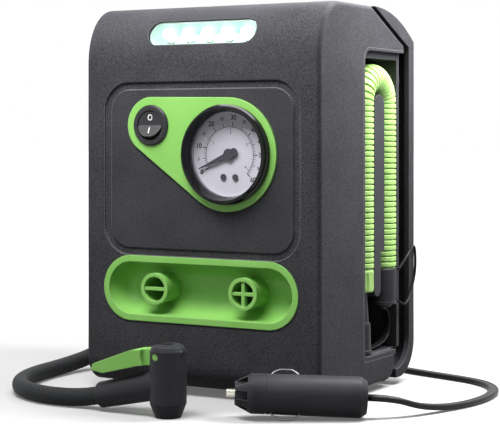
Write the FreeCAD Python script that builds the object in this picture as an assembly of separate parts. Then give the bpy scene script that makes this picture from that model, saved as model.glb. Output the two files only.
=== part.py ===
"""Portable tire inflator with a corded car plug, a tire hose and an accessory hose.

Millimetres. X runs to the right seen from the front, Y runs backwards, Z is up.
Inside this file a place behind the front face is called t, so Y = t + front_y.
The origin is the middle of the footprint, on the surface that the feet stand on.
"""
import FreeCAD, Part
import math
import os
from FreeCAD import Vector, Placement, Rotation

os.makedirs("parts", exist_ok=True)

# Body: the front housing, the wrap channel and the rear shell
width = 148.0
height = 213.5
depth = 118.5
wall = 2.6
base_z = 4.2              # the underside, carried by the feet
top_round_t = 23.0        # the front rounds into the top over an elliptical corner
top_round_z = 31.0
bottom_round_t = 12.0
bottom_round_z = 14.0
edge_fillet = 2.6
slope_t = 63.0            # the flat top ends here and slopes down to the housing's back
housing_back = 104.0
slope_drop = 19.0
channel = 8.0             # width of the cord-wrap channel between housing and rear shell
rear_rim = 3.2
half = width / 2

# Side compartments
bay_t = 52.0              # front edge of the opening
bay_drop = 23.0            # from the top of the body down to the opening
bay_top = height - bay_drop
bay_floor = 18.0
bay_depth = 30.6
bay_wall = 2.2
bay_corner = 8.0
bay_toe = 3.0             # rounding of the lower front corner
ledge_depth = 3.0         # step between the opening and the well
ledge_t = 2.6
ledge_z = 5.6
shelf_back = 93.0         # the side panel under the opening ends here

# Control panel
panel_w = 123.8
panel_x = 0.4
panel_drop = 42.0          # from the top of the body down to the panel
panel_high = height - panel_drop
panel_h = 95.5
panel_low = panel_high - panel_h
panel_corner = 16.0
groove_w = 4.2
groove_deep = 1.3
panel_deep = 0.5

# Pressure gauge
gauge_x = 18.0
gauge_drop = 39.6          # from the panel's upper edge to the middle of the gauge
gauge_z = panel_high - gauge_drop
gauge_case_r = 25.2
bezel_r = 26.9
bezel_proud = 6.0
window_r = 22.9
lens_thick = 1.0
dial_t = 3.0
dial_thick = 0.5
gauge_deep = 24.0
pointer_len = 20.3
pointer_rest = 203.0      # degrees from +X towards +Z, where the scale starts
hub_r = 3.1

# Rocker switch
switch_x = -29.9
switch_drop = 23.9
switch_z = panel_high - switch_drop
switch_flange_r = 11.2
switch_hole_r = 10.1
rocker_r = 7.8
rocker_gap = 0.3
rocker_tilt = 24.0
trunnion_r = 1.4
running = 0.05

# Trim plate round the switch and the gauge
trim_small_r = 15.5
trim_large_r = 30.6
trim_thick = 1.8
trim_proud = 0.7

# Work light
led_count = 5
led_pitch = 12.5
led_w = 68.5
led_h = 14.5
led_deep = 9.0
led_tilt = 23.0
led_lift = 16.0           # centre above the start of the top rounding

# Port bowl with its two air ports
bowl_w = 123.0
bowl_h = 36.0
bowl_drop = 18.2           # from the panel's lower edge to the middle of the bowl
bowl_z = panel_low - bowl_drop
bowl_deep = 16.0
bowl_rim = 2.3
bowl_wall = 1.2
bowl_proud = 0.6
bowl_slope = 8.0          # how far the side wall draws in towards the floor
port_x = 28.0
port_r = 8.75
port_lip = 4.0             # bead at the port's mouth that a connector grips
port_neck_r = 8.35
port_tail = 4.0            # from the bowl's floor to the blower's spigot
port_bar_t = 3.0
port_bore_r = 6.65
port_bar = 1.9

# Accessory hose in the right compartment
duct_r = 8.0
duct_groove = 1.1
duct_wall = 1.3
duct_pitch = 3.1
duct_t = 63.4             # front leg
duct_bend_r = 14.7
duct_bend_drop = 31.1      # from the top of the opening down to the start of the bend
duct_bend_z = bay_top - duct_bend_drop
duct_inset = 0.3          # clearance to the plane of the side face
duct_front_end = 68.4
duct_rear_end = 66.8

# Feet and screws
foot_r = 4.5
foot_inset = 16.0
foot_x = half - foot_inset
foot_front_t = 26.0
foot_rear_t = 104.5
screw_r = 3.2

# Tire hose and its chuck
hose_r = 4.7
chuck_x = 15.0
chuck_t = -52.6
head_r = 9.35
head_h = 37.0
handle_len = 41.7
handle_tilt = 13.1
handle_r = 6.75
handle_root_r = 7.9
handle_root_z = 17.3
lever_x = -2.0
lever_z = 31.0
lever_w = 8.0
slot_gap = 0.3
pin_r = 1.7
valve_r = 3.9

# Car plug on the power cord
plug_x = 103.3            # middle of the plug's rear face
plug_t = -5.9
plug_z = 10.5
plug_heading = 31.3       # turned back from +X
plug_pitch = 2.3          # nose up, because the lower contact spring props it
plug_r = 10.4
plug_front_r = 10.1
plug_body_len = 50.6
cap_len = 15.3
collar_len = 7.0
nose_r = 5.9
tip_len = 4.4
tip_r = 2.15
tip_travel = 3.0
fuse_r = 3.1
fuse_len = 32.5
contact_wire = 0.5
contact_proud = 3.1
contact_turn = 30.0

# Power cord, a flat twin lead: its width is used as the tube's diameter
cord_r = 2.9
coil_x = -32.0
coil_t = 200.0
coil_r = 42.0             # outer turn, at the middle of the cord
coil_turns = 12.75
coil_layers = 4
coil_foot = 3.1           # height of the lowest turn's middle
coil_gap = 0.6
layer_gap = 0.5

# Compressor and blower inside
motor_r = 17.5
motor_boss = 1.2
motor_gap = 0.2            # between the boss and the left tray
motor_x0 = -(half - bay_depth) + motor_gap + motor_boss
cylinder_gap = 5.35        # between the fins and the right tray
drive_t = 78.0
motor_drop = 121.5         # from the top of the body down to the motor's shaft
motor_z = height - motor_drop
module = 1.0
pinion_teeth = 10
gear_teeth = 40
gear_w = 5.0
crank_r = 8.0
rod_len = 38.0
rod_w = 3.6
piston_r = 9.95
blower_r = 27.0
blower_t = 24.0
blower_w = 24.0
impeller_r = 22.5

front_y = -(depth - bezel_proud) / 2
seat = 0.3                # clearance between pieces that move past each other
X_AXIS = Vector(1, 0, 0)
Y_AXIS = Vector(0, 1, 0)
Z_AXIS = Vector(0, 0, 1)


def put(name, shape):
    """Write one named piece, moved from the t frame into the part's own frame."""
    piece = shape.copy()
    piece.translate(Vector(0, front_y, 0))
    if not piece.isValid():
        print("not valid:", name)
    piece.exportStep(f"parts/{name}.step")


def box(x0, x1, t0, t1, z0, z1):
    return Part.makeBox(x1 - x0, t1 - t0, z1 - z0, Vector(x0, t0, z0))


def rod(x, t, z, radius, length, axis=Y_AXIS):
    return Part.makeCylinder(radius, length, Vector(x, t, z), axis)


def face_of(edges):
    return Part.Face(Part.Wire(edges))


def polygon(points):
    return Part.Face(Part.makePolygon(points + points[:1]))


def quarter_ellipse(centre_t, centre_z, semi_t, semi_z, start, end):
    """An elliptical corner in the side view, from one angle to another in degrees."""
    steps = [start + (end - start) * k / 2 for k in range(3)]
    points = [
        Vector(0, centre_t + semi_t * math.cos(math.radians(a)), centre_z + semi_z * math.sin(math.radians(a)))
        for a in steps
    ]
    curve = Part.BSplineCurve()
    many = [
        Vector(
            0,
            centre_t + semi_t * math.cos(math.radians(start + (end - start) * k / 8)),
            centre_z + semi_z * math.sin(math.radians(start + (end - start) * k / 8)),
        )
        for k in range(9)
    ]
    curve.interpolate(many)
    return curve.toShape(), points[0], points[2]


def line(a, b):
    return Part.LineSegment(a, b).toShape()


def arc(a, b, c):
    return Part.Arc(a, b, c).toShape()


def rounded_rect(x0, x1, z0, z1, radius, t=0.0):
    """A rounded rectangle in the front view, as a wire at depth t."""
    r = radius
    k = r * (1 - math.sqrt(0.5))
    corner = [
        (Vector(x1 - r, t, z0), Vector(x1 - k, t, z0 + k), Vector(x1, t, z0 + r)),
        (Vector(x1, t, z1 - r), Vector(x1 - k, t, z1 - k), Vector(x1 - r, t, z1)),
        (Vector(x0 + r, t, z1), Vector(x0 + k, t, z1 - k), Vector(x0, t, z1 - r)),
        (Vector(x0, t, z0 + r), Vector(x0 + k, t, z0 + k), Vector(x0 + r, t, z0)),
    ]
    edges = []
    for i, (a, b, c) in enumerate(corner):
        edges.append(arc(a, b, c))
        following = corner[(i + 1) % 4][0]
        if c.distanceToPoint(following) > 1e-6:
            edges.append(line(c, following))
    return Part.Wire(edges)


def stadium(w, h, x, z, t=0.0):
    """Two half circles joined by straight sides, as a wire at depth t."""
    r = h / 2
    a = w / 2 - r
    return Part.Wire([
        line(Vector(x - a, t, z - r), Vector(x + a, t, z - r)),
        arc(Vector(x + a, t, z - r), Vector(x + a + r, t, z), Vector(x + a, t, z + r)),
        line(Vector(x + a, t, z + r), Vector(x - a, t, z + r)),
        arc(Vector(x - a, t, z + r), Vector(x - a - r, t, z), Vector(x - a, t, z - r)),
    ])


def prism(wire, along):
    return Part.Face(wire).extrude(along)


def revolved(profile, origin, axis):
    """A solid of revolution from (radius, height) pairs."""
    side = X_AXIS if abs(axis.x) < 0.9 else Y_AXIS
    points = [origin + side * r + axis * h for r, h in profile]
    return polygon(points).revolve(origin, axis, 360)


def mirrored(shape):
    return shape.mirror(Vector(0, 0, 0), X_AXIS)


def side_profile(inset, back, back_low, shelf):
    """Outline of the front housing in the side view, drawn in by a wall."""
    low = base_z + inset
    high = height - inset
    slope_z = height - slope_drop
    run = housing_back - slope_t
    fall = slope_drop / run
    drop = inset * math.sqrt(1 + fall * fall)
    top_end_t = slope_t + (inset - drop) / fall
    front_low, a0, a1 = quarter_ellipse(
        bottom_round_t, base_z + bottom_round_z,
        bottom_round_t - inset, bottom_round_z - inset, 270, 180)
    front_high, b0, b1 = quarter_ellipse(
        top_round_t, height - top_round_z,
        top_round_t - inset, top_round_z - inset, 180, 90)
    slope_start = Vector(0, top_end_t, high)
    slope_end = Vector(0, back, slope_z - drop - (back - housing_back) * fall)
    edges = [front_low, line(a1, b0), front_high, line(b1, slope_start), line(slope_start, slope_end)]
    corner = Vector(0, back, back_low)
    edges.append(line(slope_end, corner))
    if shelf:
        inner = Vector(0, shelf, back_low)
        r = bottom_round_z - base_z
        k = r * (1 - math.sqrt(0.5))
        edges.append(line(corner, inner))
        edges.append(line(inner, Vector(0, shelf, low + r)))
        edges.append(arc(Vector(0, shelf, low + r), Vector(0, shelf - k, low + k), Vector(0, shelf - r, low)))
        edges.append(line(Vector(0, shelf - r, low), a0))
    else:
        edges.append(line(corner, Vector(0, back, low)) if back_low > low + 1e-6 else None)
        edges.append(line(Vector(0, back, low), a0))
    return face_of([e for e in edges if e is not None])


def across(face, half_width):
    piece = face.extrude(Vector(2 * half_width, 0, 0))
    piece.translate(Vector(-half_width, 0, 0))
    return piece


def bay_block(x0, x1, t0, t1, z0, z1, upper, lower):
    """A block for the right compartment, its two front corners rounded in the side view."""
    block = box(x0, x1, t0, t1, z0, z1)
    front = [
        e for e in block.Edges
        if abs(e.Vertexes[0].X - e.Vertexes[1].X) > 1 and abs(e.Vertexes[0].Y - t0) < 1e-6
    ]
    block = block.makeFillet(upper, [e for e in front if e.CenterOfMass.z > (z0 + z1) / 2])
    low = [
        e for e in block.Edges
        if abs(e.CenterOfMass.y - t0) < 1e-6 and abs(e.CenterOfMass.z - z0) < 1e-6
        and abs(e.Vertexes[0].X - e.Vertexes[-1].X) > 1
    ]
    return block.makeFillet(lower, low)


def teardrop(grow, t0, thick):
    """The plate round switch and gauge: two discs and their common tangents."""
    r1 = trim_small_r + grow
    r2 = trim_large_r + grow
    dx = gauge_x - switch_x
    dz = gauge_z - switch_z
    dist = math.hypot(dx, dz)
    axis = math.atan2(dz, dx)
    lean = math.acos((r1 - r2) / dist)
    ends = []
    for side in (1, -1):
        a = axis + side * lean
        ends.append((
            Vector(switch_x + r1 * math.cos(a), t0, switch_z + r1 * math.sin(a)),
            Vector(gauge_x + r2 * math.cos(a), t0, gauge_z + r2 * math.sin(a)),
        ))
    (s_top, g_top), (s_low, g_low) = ends
    far_s = Vector(switch_x - r1 * math.cos(axis), t0, switch_z - r1 * math.sin(axis))
    far_g = Vector(gauge_x + r2 * math.cos(axis), t0, gauge_z + r2 * math.sin(axis))
    wire = Part.Wire([line(s_top, g_top), arc(g_top, far_g, g_low), line(g_low, s_low), arc(s_low, far_s, s_top)])
    return Part.Face(wire).extrude(Vector(0, thick, 0))


def led_frame(shape):
    """Tilt a shape drawn at the origin, facing -Y, onto the top rounding."""
    share = led_lift / top_round_z
    t = top_round_t * (1 - math.sqrt(1 - share * share))
    z = height - top_round_z + led_lift
    piece = shape.copy()
    piece.Placement = Placement(Vector(0, t, z), Rotation(X_AXIS, -led_tilt)).multiply(piece.Placement)
    return piece


def bowl_solid(grow, t_front, deep):
    """The bowl's form: stadium sections that draw in along a rounded wall."""
    sections = []
    steps = 7
    for k in range(steps):
        share = k / (steps - 1)
        turn = share * math.pi / 2
        inward = bowl_slope * (0.35 * share + 0.65 * (1 - math.cos(turn)))
        t = deep * (0.2 * share + 0.8 * math.sin(turn))
        sections.append(stadium(
            bowl_w - 2 * bowl_rim + 2 * grow - 2 * inward,
            bowl_h - 2 * bowl_rim + 2 * grow - 2 * inward, 0, bowl_z, t))
    body = Part.makeLoft(sections, True, False)
    if t_front < 0:
        lip = prism(stadium(bowl_w - 2 * bowl_rim + 2 * grow, bowl_h - 2 * bowl_rim + 2 * grow, 0, bowl_z, t_front),
                    Vector(0, -t_front, 0))
        body = body.fuse(lip)
    return body


def arc_middle(start, corner, end):
    """Middle point of the arc that leaves start and meets end, both towards corner."""
    mid = (start + end) * 0.5
    reach = corner - mid
    chord = (start - mid).Length
    bend = math.atan2(reach.Length, chord)
    return mid + reach * (chord * math.tan(bend / 2) / reach.Length)


def route_edges(points, label):
    """Straight runs joined by tangent arcs; prints the smallest bend radius."""
    edges = []
    here = points[0]
    radii = []
    for before, corner, after in zip(points, points[1:], points[2:]):
        into = corner - before
        out = after - corner
        half_turn = into.getAngle(out) / 2
        reach = 0.45 * min(into.Length, out.Length)
        radii.append(reach / math.tan(half_turn))
        start = corner - Vector(into).normalize() * reach
        end = corner + Vector(out).normalize() * reach
        edges.append(line(here, start))
        edges.append(arc(start, arc_middle(start, corner, end), end))
        here = end
    edges.append(line(here, points[-1]))
    print(f"{label}: length {sum(e.Length for e in edges):.1f}, radii {min(radii):.1f} to {max(radii):.1f}")
    return edges


def swept(edges, radius, label=None):
    wire = Part.Wire(edges)
    start = edges[0].valueAt(edges[0].FirstParameter)
    heading = edges[0].tangentAt(edges[0].FirstParameter)
    ring = Part.Wire(Part.makeCircle(radius, start, heading))
    tube = wire.makePipeShell([ring], True, False)
    if label:
        share = tube.Volume / (math.pi * radius * radius * wire.Length)
        print(f"{label}: volume over section times length {share:.4f}")
    return tube


def fitted_arcs(start, start_dir, end, end_dir):
    """Two arcs that meet smoothly between two points with given headings."""
    gap = end - start
    both = start_dir + end_dir
    a = 2 * (start_dir.dot(end_dir) - 1)
    b = -2 * gap.dot(both)
    c = gap.dot(gap)
    reach = -c / b if abs(a) < 1e-9 else (-b - math.sqrt(b * b - 4 * a * c)) / (2 * a)
    p1 = start + start_dir * reach
    p2 = end - end_dir * reach
    join = (p1 + p2) * 0.5
    return [arc(start, arc_middle(start, p1, join), join), arc(join, arc_middle(join, p2, end), end)]


def coil_point(turn):
    """Middle of the cord after so many turns from the outer end of the top layer.

    Each layer winds in or out at a steady rate. Where the spiral reverses, the rate turns
    over smoothly in half a turn, and the cord sinks to the layer below in the same stretch.
    """
    pitch = 2 * cord_r + coil_gap
    step = 2 * cord_r + layer_gap
    per_layer = coil_turns / coil_layers
    nearest = min(max(round(turn / per_layer), 1), coil_layers - 1)
    away = turn - nearest * per_layer
    spread = abs(away) if abs(away) > 0.25 else 2 * away * away + 0.125
    inner = coil_r - pitch * per_layer
    radius = inner + pitch * spread if nearest % 2 else coil_r - pitch * spread
    share = min(max((away + 0.25) / 0.5, 0.0), 1.0)
    sunk = nearest - 1 + share * share * (3 - 2 * share)
    angle = 2 * math.pi * turn
    return Vector(coil_x + radius * math.cos(angle), coil_t + radius * math.sin(angle),
                  coil_foot + step * (coil_layers - 1 - sunk))


def coil_heading(turn):
    small = 1e-4
    step = coil_point(turn + small) - coil_point(turn - small)
    return step.normalize()


def coil_route():
    """The coil's arcs: two for each quarter turn, down through all the layers."""
    count = int(round(coil_turns * 4))
    marks = [coil_turns * k / count for k in range(count + 1)]
    edges = []
    for a, b in zip(marks, marks[1:]):
        edges += fitted_arcs(coil_point(a), coil_heading(a), coil_point(b), coil_heading(b))
    return edges


def least_gap(edges, spacing):
    """Least clear distance of a wound cord to itself, measured on points."""
    points = []
    travelled = []
    length = 0.0
    for edge in edges:
        count = max(3, int(edge.Length / spacing))
        for k in range(count):
            points.append(edge.valueAt(edge.FirstParameter + (edge.LastParameter - edge.FirstParameter) * k / count))
            travelled.append(length + edge.Length * k / count)
        length += edge.Length
    least = 1e9
    apart = 8 * cord_r
    cells = {}
    for i, p in enumerate(points):
        key = (int(p.x // apart), int(p.y // apart), int(p.z // apart))
        cells.setdefault(key, []).append(i)
    for (cx, cy, cz), members in cells.items():
        near = [
            j for dx in (-1, 0, 1) for dy in (-1, 0, 1) for dz in (-1, 0, 1)
            for j in cells.get((cx + dx, cy + dy, cz + dz), [])
        ]
        for i in members:
            for j in near:
                if travelled[j] - travelled[i] > apart:
                    least = min(least, points[i].distanceToPoint(points[j]))
    return least - 2 * cord_r


def gear(teeth, bore, x, t, z, w, phase=0.0):
    """A spur gear along X with straight-sided teeth."""
    pitch_r = module * teeth / 2
    outer = pitch_r + 0.9 * module
    root = pitch_r - 1.15 * module
    points = []
    for k in range(teeth):
        middle = phase + 2 * math.pi * k / teeth
        for share, r in ((-0.33, root), (-0.11, outer), (0.11, outer), (0.33, root)):
            a = middle + share * 2 * math.pi / teeth
            points.append(Vector(x, t + r * math.cos(a), z + r * math.sin(a)))
    blank = polygon(points).extrude(Vector(w, 0, 0))
    return blank.cut(rod(x - 1, t, z, bore, w + 2, X_AXIS)) if bore else blank


# Front housing: a moulded shell with the panel, the ports and both side openings
def front_housing():
    outer = across(side_profile(0, housing_back, bay_floor, shelf_back), half)
    rounded = []
    for edge in outer.Edges:
        mid = edge.valueAt((edge.FirstParameter + edge.LastParameter) / 2)
        flat = abs(edge.tangentAt(edge.FirstParameter).x) < 0.5
        if flat and abs(abs(mid.x) - half) < 1e-6 and mid.y < housing_back - 1 and abs(mid.y - shelf_back) > 0.5:
            if not (mid.y > shelf_back and mid.z < bay_top):
                rounded.append(edge)
    outer = outer.makeFillet(edge_fillet, rounded)
    inner = across(side_profile(wall, housing_back + 2, base_z + wall, None), half - wall)
    tail = box(-half, half, shelf_back - wall, housing_back + 3, base_z - 1, bay_floor + wall)
    shell = outer.cut(inner.cut(tail))
    right = bay_block(half - 2 * wall, half + 1, bay_t, housing_back + 1, bay_floor, bay_top, bay_corner, bay_toe)
    shell = shell.cut(right).cut(mirrored(right))
    x0 = panel_x - panel_w / 2
    x1 = panel_x + panel_w / 2
    panel = prism(rounded_rect(x0, x1, panel_low, panel_high, panel_corner, -1), Vector(0, 1 + groove_deep, 0))
    island = prism(
        rounded_rect(x0 + groove_w, x1 - groove_w, panel_low + groove_w, panel_high - groove_w,
                     panel_corner - groove_w, panel_deep),
        Vector(0, wall, 0))
    shell = shell.cut(panel.cut(island))
    shell = shell.cut(teardrop(0.15, -1, 1 + trim_thick - trim_proud))
    shell = shell.cut(rod(gauge_x, -1, gauge_z, gauge_case_r + seat, wall + 2))
    shell = shell.cut(rod(switch_x, -1, switch_z, switch_hole_r + running, wall + 2))
    shell = shell.cut(prism(stadium(bowl_w - 2 * bowl_rim + 0.2, bowl_h - 2 * bowl_rim + 0.2, 0, bowl_z, -1),
                            Vector(0, wall + 2, 0)))
    shell = shell.cut(prism(stadium(bowl_w + 0.2, bowl_h + 0.2, 0, bowl_z, -1), Vector(0, 2.0, 0)))
    shell = shell.cut(led_frame(prism(stadium(led_w, led_h, 0, 0, -12), Vector(0, 30, 0))))
    for x in (-foot_x, foot_x):
        shell = shell.cut(rod(x, foot_front_t, base_z - 1, foot_r - 1, wall + 2, Z_AXIS))
    return shell


put("front_housing", front_housing())


# Side compartment: a stepped tray pressed into each side opening
tray_floor = bay_floor + ledge_t + 0.4


def bay_tray():
    x_in = half - bay_depth
    block = bay_block(x_in, half, bay_t, housing_back, bay_floor, bay_top, bay_corner, bay_toe)
    block = block.cut(box(x_in - 1, half + 1, shelf_back, housing_back + 1, bay_floor - 1, tray_floor))
    block = block.cut(box(x_in - 1, half - 2 * wall + 0.1, shelf_back - wall - 0.1, shelf_back + 1,
                          bay_floor - 1, tray_floor))
    mouth = bay_block(half - ledge_depth, half + 1, bay_t + bay_wall - 0.8, housing_back + 1,
                      bay_floor + ledge_t, bay_top - 1.6, bay_corner - 1, bay_toe)
    well = bay_block(x_in + bay_wall, half, bay_t + ledge_t, housing_back - ledge_depth,
                     tray_floor, bay_top - ledge_z, bay_corner, bay_toe)
    tray = block.cut(mouth).cut(well)
    gap0 = duct_t + duct_r + 0.2
    gap1 = duct_t + 2 * duct_bend_r - duct_r - 0.2
    bar_r = (gap1 - gap0) / 2
    bar_top = duct_bend_z - 1.0
    upper = box(x_in, half - ledge_depth, gap0, gap1, duct_front_end + 8, bar_top)
    crown = rod(x_in, (gap0 + gap1) / 2, bar_top, bar_r, bay_depth - ledge_depth, X_AXIS)
    narrow = bar_r * 0.62
    lower = box(x_in, half - ledge_depth, gap0, gap0 + 2 * narrow, 52 + narrow, duct_front_end + 8)
    toe = rod(x_in, gap0 + narrow, 52 + narrow, narrow, bay_depth - ledge_depth, X_AXIS)
    return tray.fuse(upper).fuse(crown).fuse(lower).fuse(toe).removeSplitter()


tray_right = bay_tray()
put("tray_right", tray_right)
outlet_t = 90.0
outlet_z = 31.0
gland_r = hose_r + 2.2
tray_left = mirrored(tray_right).cut(
    rod(-half + bay_depth + 1, outlet_t, outlet_z, gland_r - 1.4, bay_wall + 2, -X_AXIS))
put("tray_left", tray_left)


# Core frame: closes the housing's back and forms the bottom of the cord-wrap channel
core_x = half - 14.0
core_low = 24.0
core_high = height - 29.5
shell_inner_t = depth - wall


def core_frame():
    x_in = half - bay_depth
    lintel_top = height - slope_drop - wall - 0.8
    flange = box(-x_in + 0.1, x_in - 0.1, housing_back - wall, housing_back, bay_floor + wall + seat, lintel_top)
    lintel = box(-half + wall + seat, half - wall - seat, housing_back - wall, housing_back,
                 bay_top + 0.1, lintel_top)
    ring = box(-core_x, core_x, housing_back, shell_inner_t, core_low, core_high)
    frame = flange.fuse(lintel).fuse(ring)
    hollow = box(-x_in + 3, x_in - 3, housing_back - wall - 1, housing_back + 4, core_low + 4, core_high - 4)
    room = box(-core_x + wall, core_x - wall, housing_back + wall, shell_inner_t + 1, core_low + wall, core_high - wall)
    return frame.cut(hollow).cut(room)


put("core_frame", core_frame())


# Rear shell: a bowed back with a deep rim that follows the housing's slope
crest_t = 70.0             # the flat top of the rim ends here
toe_t = 98.0              # the flat underside ends here
toe_z = 23.0              # the flat back starts here
shoulder_drop = 17.5


def rear_outline(inset):
    """Top, back and toe of the rear shell in the side view; inset draws them in."""
    back = depth - inset
    crest = Vector(0, crest_t, height - inset)
    shoulder = Vector(0, back, height - shoulder_drop - inset)
    heel = Vector(0, back, toe_z)
    rise = arc(crest, Vector(0, 99.0, height - 6.4 - inset), shoulder)
    run = back - toe_t
    climb = toe_z - base_z - inset
    r = (run * run + climb * climb) / (2 * climb)
    turn = math.asin(run / r) / 2
    bend = Vector(0, toe_t + r * math.sin(turn), base_z + inset + r * (1 - math.cos(turn)))
    return rise, line(shoulder, heel), arc(heel, bend, Vector(0, toe_t, base_z + inset))


def rear_shell():
    inner_t = housing_back + channel
    rise, down, toe = rear_outline(0)
    start = Vector(0, slope_t + 3.0, height)
    rim = [
        line(start, Vector(0, crest_t, height)), rise, down, toe,
        line(Vector(0, toe_t, base_z), Vector(0, shelf_back + 1, base_z)),
        line(Vector(0, shelf_back + 1, base_z), Vector(0, shelf_back + 1, base_z + 5)),
        arc(Vector(0, shelf_back + 1, base_z + 5), Vector(0, 106.5, 13.5), Vector(0, inner_t, 27.0)),
        line(Vector(0, inner_t, 27.0), Vector(0, inner_t, height - slope_drop - 2)),
        line(Vector(0, inner_t, height - slope_drop - 2), start),
    ]
    band = across(face_of(rim), half)
    rise, down, toe = rear_outline(wall)
    tip = Vector(0, 86.0, height - 14.0)
    hollow = [
        rise, down, toe,
        line(Vector(0, toe_t, base_z + wall), Vector(0, toe_t, height - 33.5)),
        line(Vector(0, toe_t, height - 33.5), tip),
        line(tip, Vector(0, crest_t, height - wall)),
    ]
    shell = band.cut(across(face_of(hollow), half - rear_rim))
    for x in (-foot_x, foot_x):
        shell = shell.cut(rod(x, foot_rear_t, base_z - 1, foot_r - 1, wall + 3, Z_AXIS))
    for x, z in screw_places:
        shell = shell.fuse(rod(x, inner_t, z, screw_r + 2.2, depth - 1 - inner_t))
        shell = shell.cut(rod(x, inner_t - 1, z, screw_r - 1.4, depth))
        shell = shell.cut(rod(x, depth - 2.6, z, screw_r + 0.3, 10))
    return shell.cut(rod(lead_x, inner_t, lead_z, grommet_r - 1.4, depth))


screw_x = core_x - 14.0
screw_places = [(x, z) for x in (-screw_x, screw_x) for z in (40.0, height - 105.5, height - 41.5)]
lead_x = coil_x + coil_r
lead_z = 34.0
grommet_r = 6.0
grommet_len = 22.0
put("rear_shell", rear_shell())

screws = [
    rod(x, depth - 2.6, z, screw_r, 2.0).fuse(rod(x, depth - 11.5, z, screw_r - 1.5, 8.9))
    for x, z in screw_places
]
put("housing_screws", Part.makeCompound(screws))


# Four feet with stems pressed into the underside
def foot(x, t, floor_z):
    pad = Part.makeCone(foot_r - 0.6, foot_r, floor_z, Vector(x, t, 0), Z_AXIS)
    return pad.fuse(rod(x, t, floor_z, foot_r - 1.05, wall, Z_AXIS))


put("feet", Part.makeCompound([
    foot(x, t, base_z) for x in (-foot_x, foot_x) for t in (foot_front_t, foot_rear_t)]))


# Trim plate
def trim_plate():
    plate = teardrop(0, -trim_proud, trim_thick)
    plate = plate.cut(rod(gauge_x, -5, gauge_z, gauge_case_r + seat, 20))
    return plate.cut(rod(switch_x, -5, switch_z, switch_hole_r + running, 20))


put("trim_plate", trim_plate())

# Pressure gauge
trim_face = -trim_proud
gauge_at = Vector(gauge_x, 0, gauge_z)
put("gauge_bezel", revolved([
    (gauge_case_r - 1.6, trim_face), (bezel_r, trim_face), (bezel_r, trim_face - 2.0),
    (bezel_r - 1.0, trim_face - 2.7), (bezel_r - 1.0, -bezel_proud + 0.8), (bezel_r - 1.7, -bezel_proud),
    (window_r + 1.5, -bezel_proud), (window_r, -0.9), (window_r, 0.0), (gauge_case_r - 1.6, 0.0)],
    gauge_at, Y_AXIS))
put("gauge_lens", rod(gauge_x, 0.0, gauge_z, gauge_case_r - 1.7, lens_thick))
cup = rod(gauge_x, trim_face, gauge_z, gauge_case_r, gauge_deep)
cup = cup.cut(rod(gauge_x, trim_face - 1, gauge_z, gauge_case_r - 1.6, 1 + lens_thick - trim_face))
cup = cup.cut(rod(gauge_x, lens_thick, gauge_z, gauge_case_r - 2.6, dial_t - lens_thick))
cup = cup.cut(rod(gauge_x, dial_t, gauge_z, gauge_case_r - 1.6, gauge_deep - dial_t - 2.4))
stem_root = trim_face + gauge_deep
stem_len = 14.0
cup = cup.fuse(rod(gauge_x, stem_root, gauge_z, 6.0, 6.0)).fuse(rod(gauge_x, stem_root, gauge_z, 3.2, stem_len))
put("gauge_case", cup)
dial = rod(gauge_x, dial_t, gauge_z, gauge_case_r - 1.7, dial_thick)
spindle_r = 0.8
dial = dial.cut(rod(gauge_x, dial_t - 1, gauge_z, spindle_r + 0.5, 3))
dial_screw_x = 3.7
dial_screw_z = -12.2
for side in (-1, 1):
    dial = dial.cut(rod(gauge_x + side * dial_screw_x, dial_t - 1, gauge_z + dial_screw_z, 0.9, 3))
put("gauge_dial", dial)
put("dial_screws", Part.makeCompound([
    rod(gauge_x + side * dial_screw_x, dial_t - 0.7, gauge_z + dial_screw_z, 1.7, 0.7).fuse(
        rod(gauge_x + side * dial_screw_x, dial_t, gauge_z + dial_screw_z, 0.85, 4.0))
    for side in (-1, 1)]))


def gauge_movement():
    plate_t = dial_t + dial_thick + 3.5
    plate = rod(gauge_x, plate_t, gauge_z, 9.0, 1.6).cut(rod(gauge_x, plate_t - 1, gauge_z, spindle_r + running, 4))
    for side in (-1, 1):
        lug = box(gauge_x + side * dial_screw_x - 2.2, gauge_x + side * dial_screw_x + 2.2,
                  dial_t + dial_thick, plate_t + 1.6, gauge_z + dial_screw_z - 2.2, gauge_z - 6)
        hole = rod(gauge_x + side * dial_screw_x, dial_t, gauge_z + dial_screw_z, 0.86, 5)
        plate = plate.fuse(lug).cut(hole)
    block = box(gauge_x - 5, gauge_x + 5, plate_t + 1.6, trim_face + gauge_deep - 2.4, gauge_z - 8, gauge_z + 2)
    return plate.fuse(block).cut(rod(gauge_x, plate_t, gauge_z, spindle_r + 0.6, 6))


put("gauge_movement", gauge_movement())
coil_mid = gauge_at + Vector(0, dial_t + 11.0, 0)
tube_r = 16.5
around = [
    coil_mid + Vector(tube_r * math.cos(math.radians(a)), 0, tube_r * math.sin(math.radians(a)))
    for a in (-115, 25, 165)
]
bourdon = swept([arc(around[0], around[1], around[2])], 1.6)
foot_end = around[0]
bourdon = bourdon.fuse(box(gauge_x - 8, gauge_x - 5.02, coil_mid.y - 1.6, coil_mid.y + 1.6,
                           gauge_z - tube_r * 0.95, gauge_z - 6))
put("bourdon_tube", bourdon)


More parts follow.
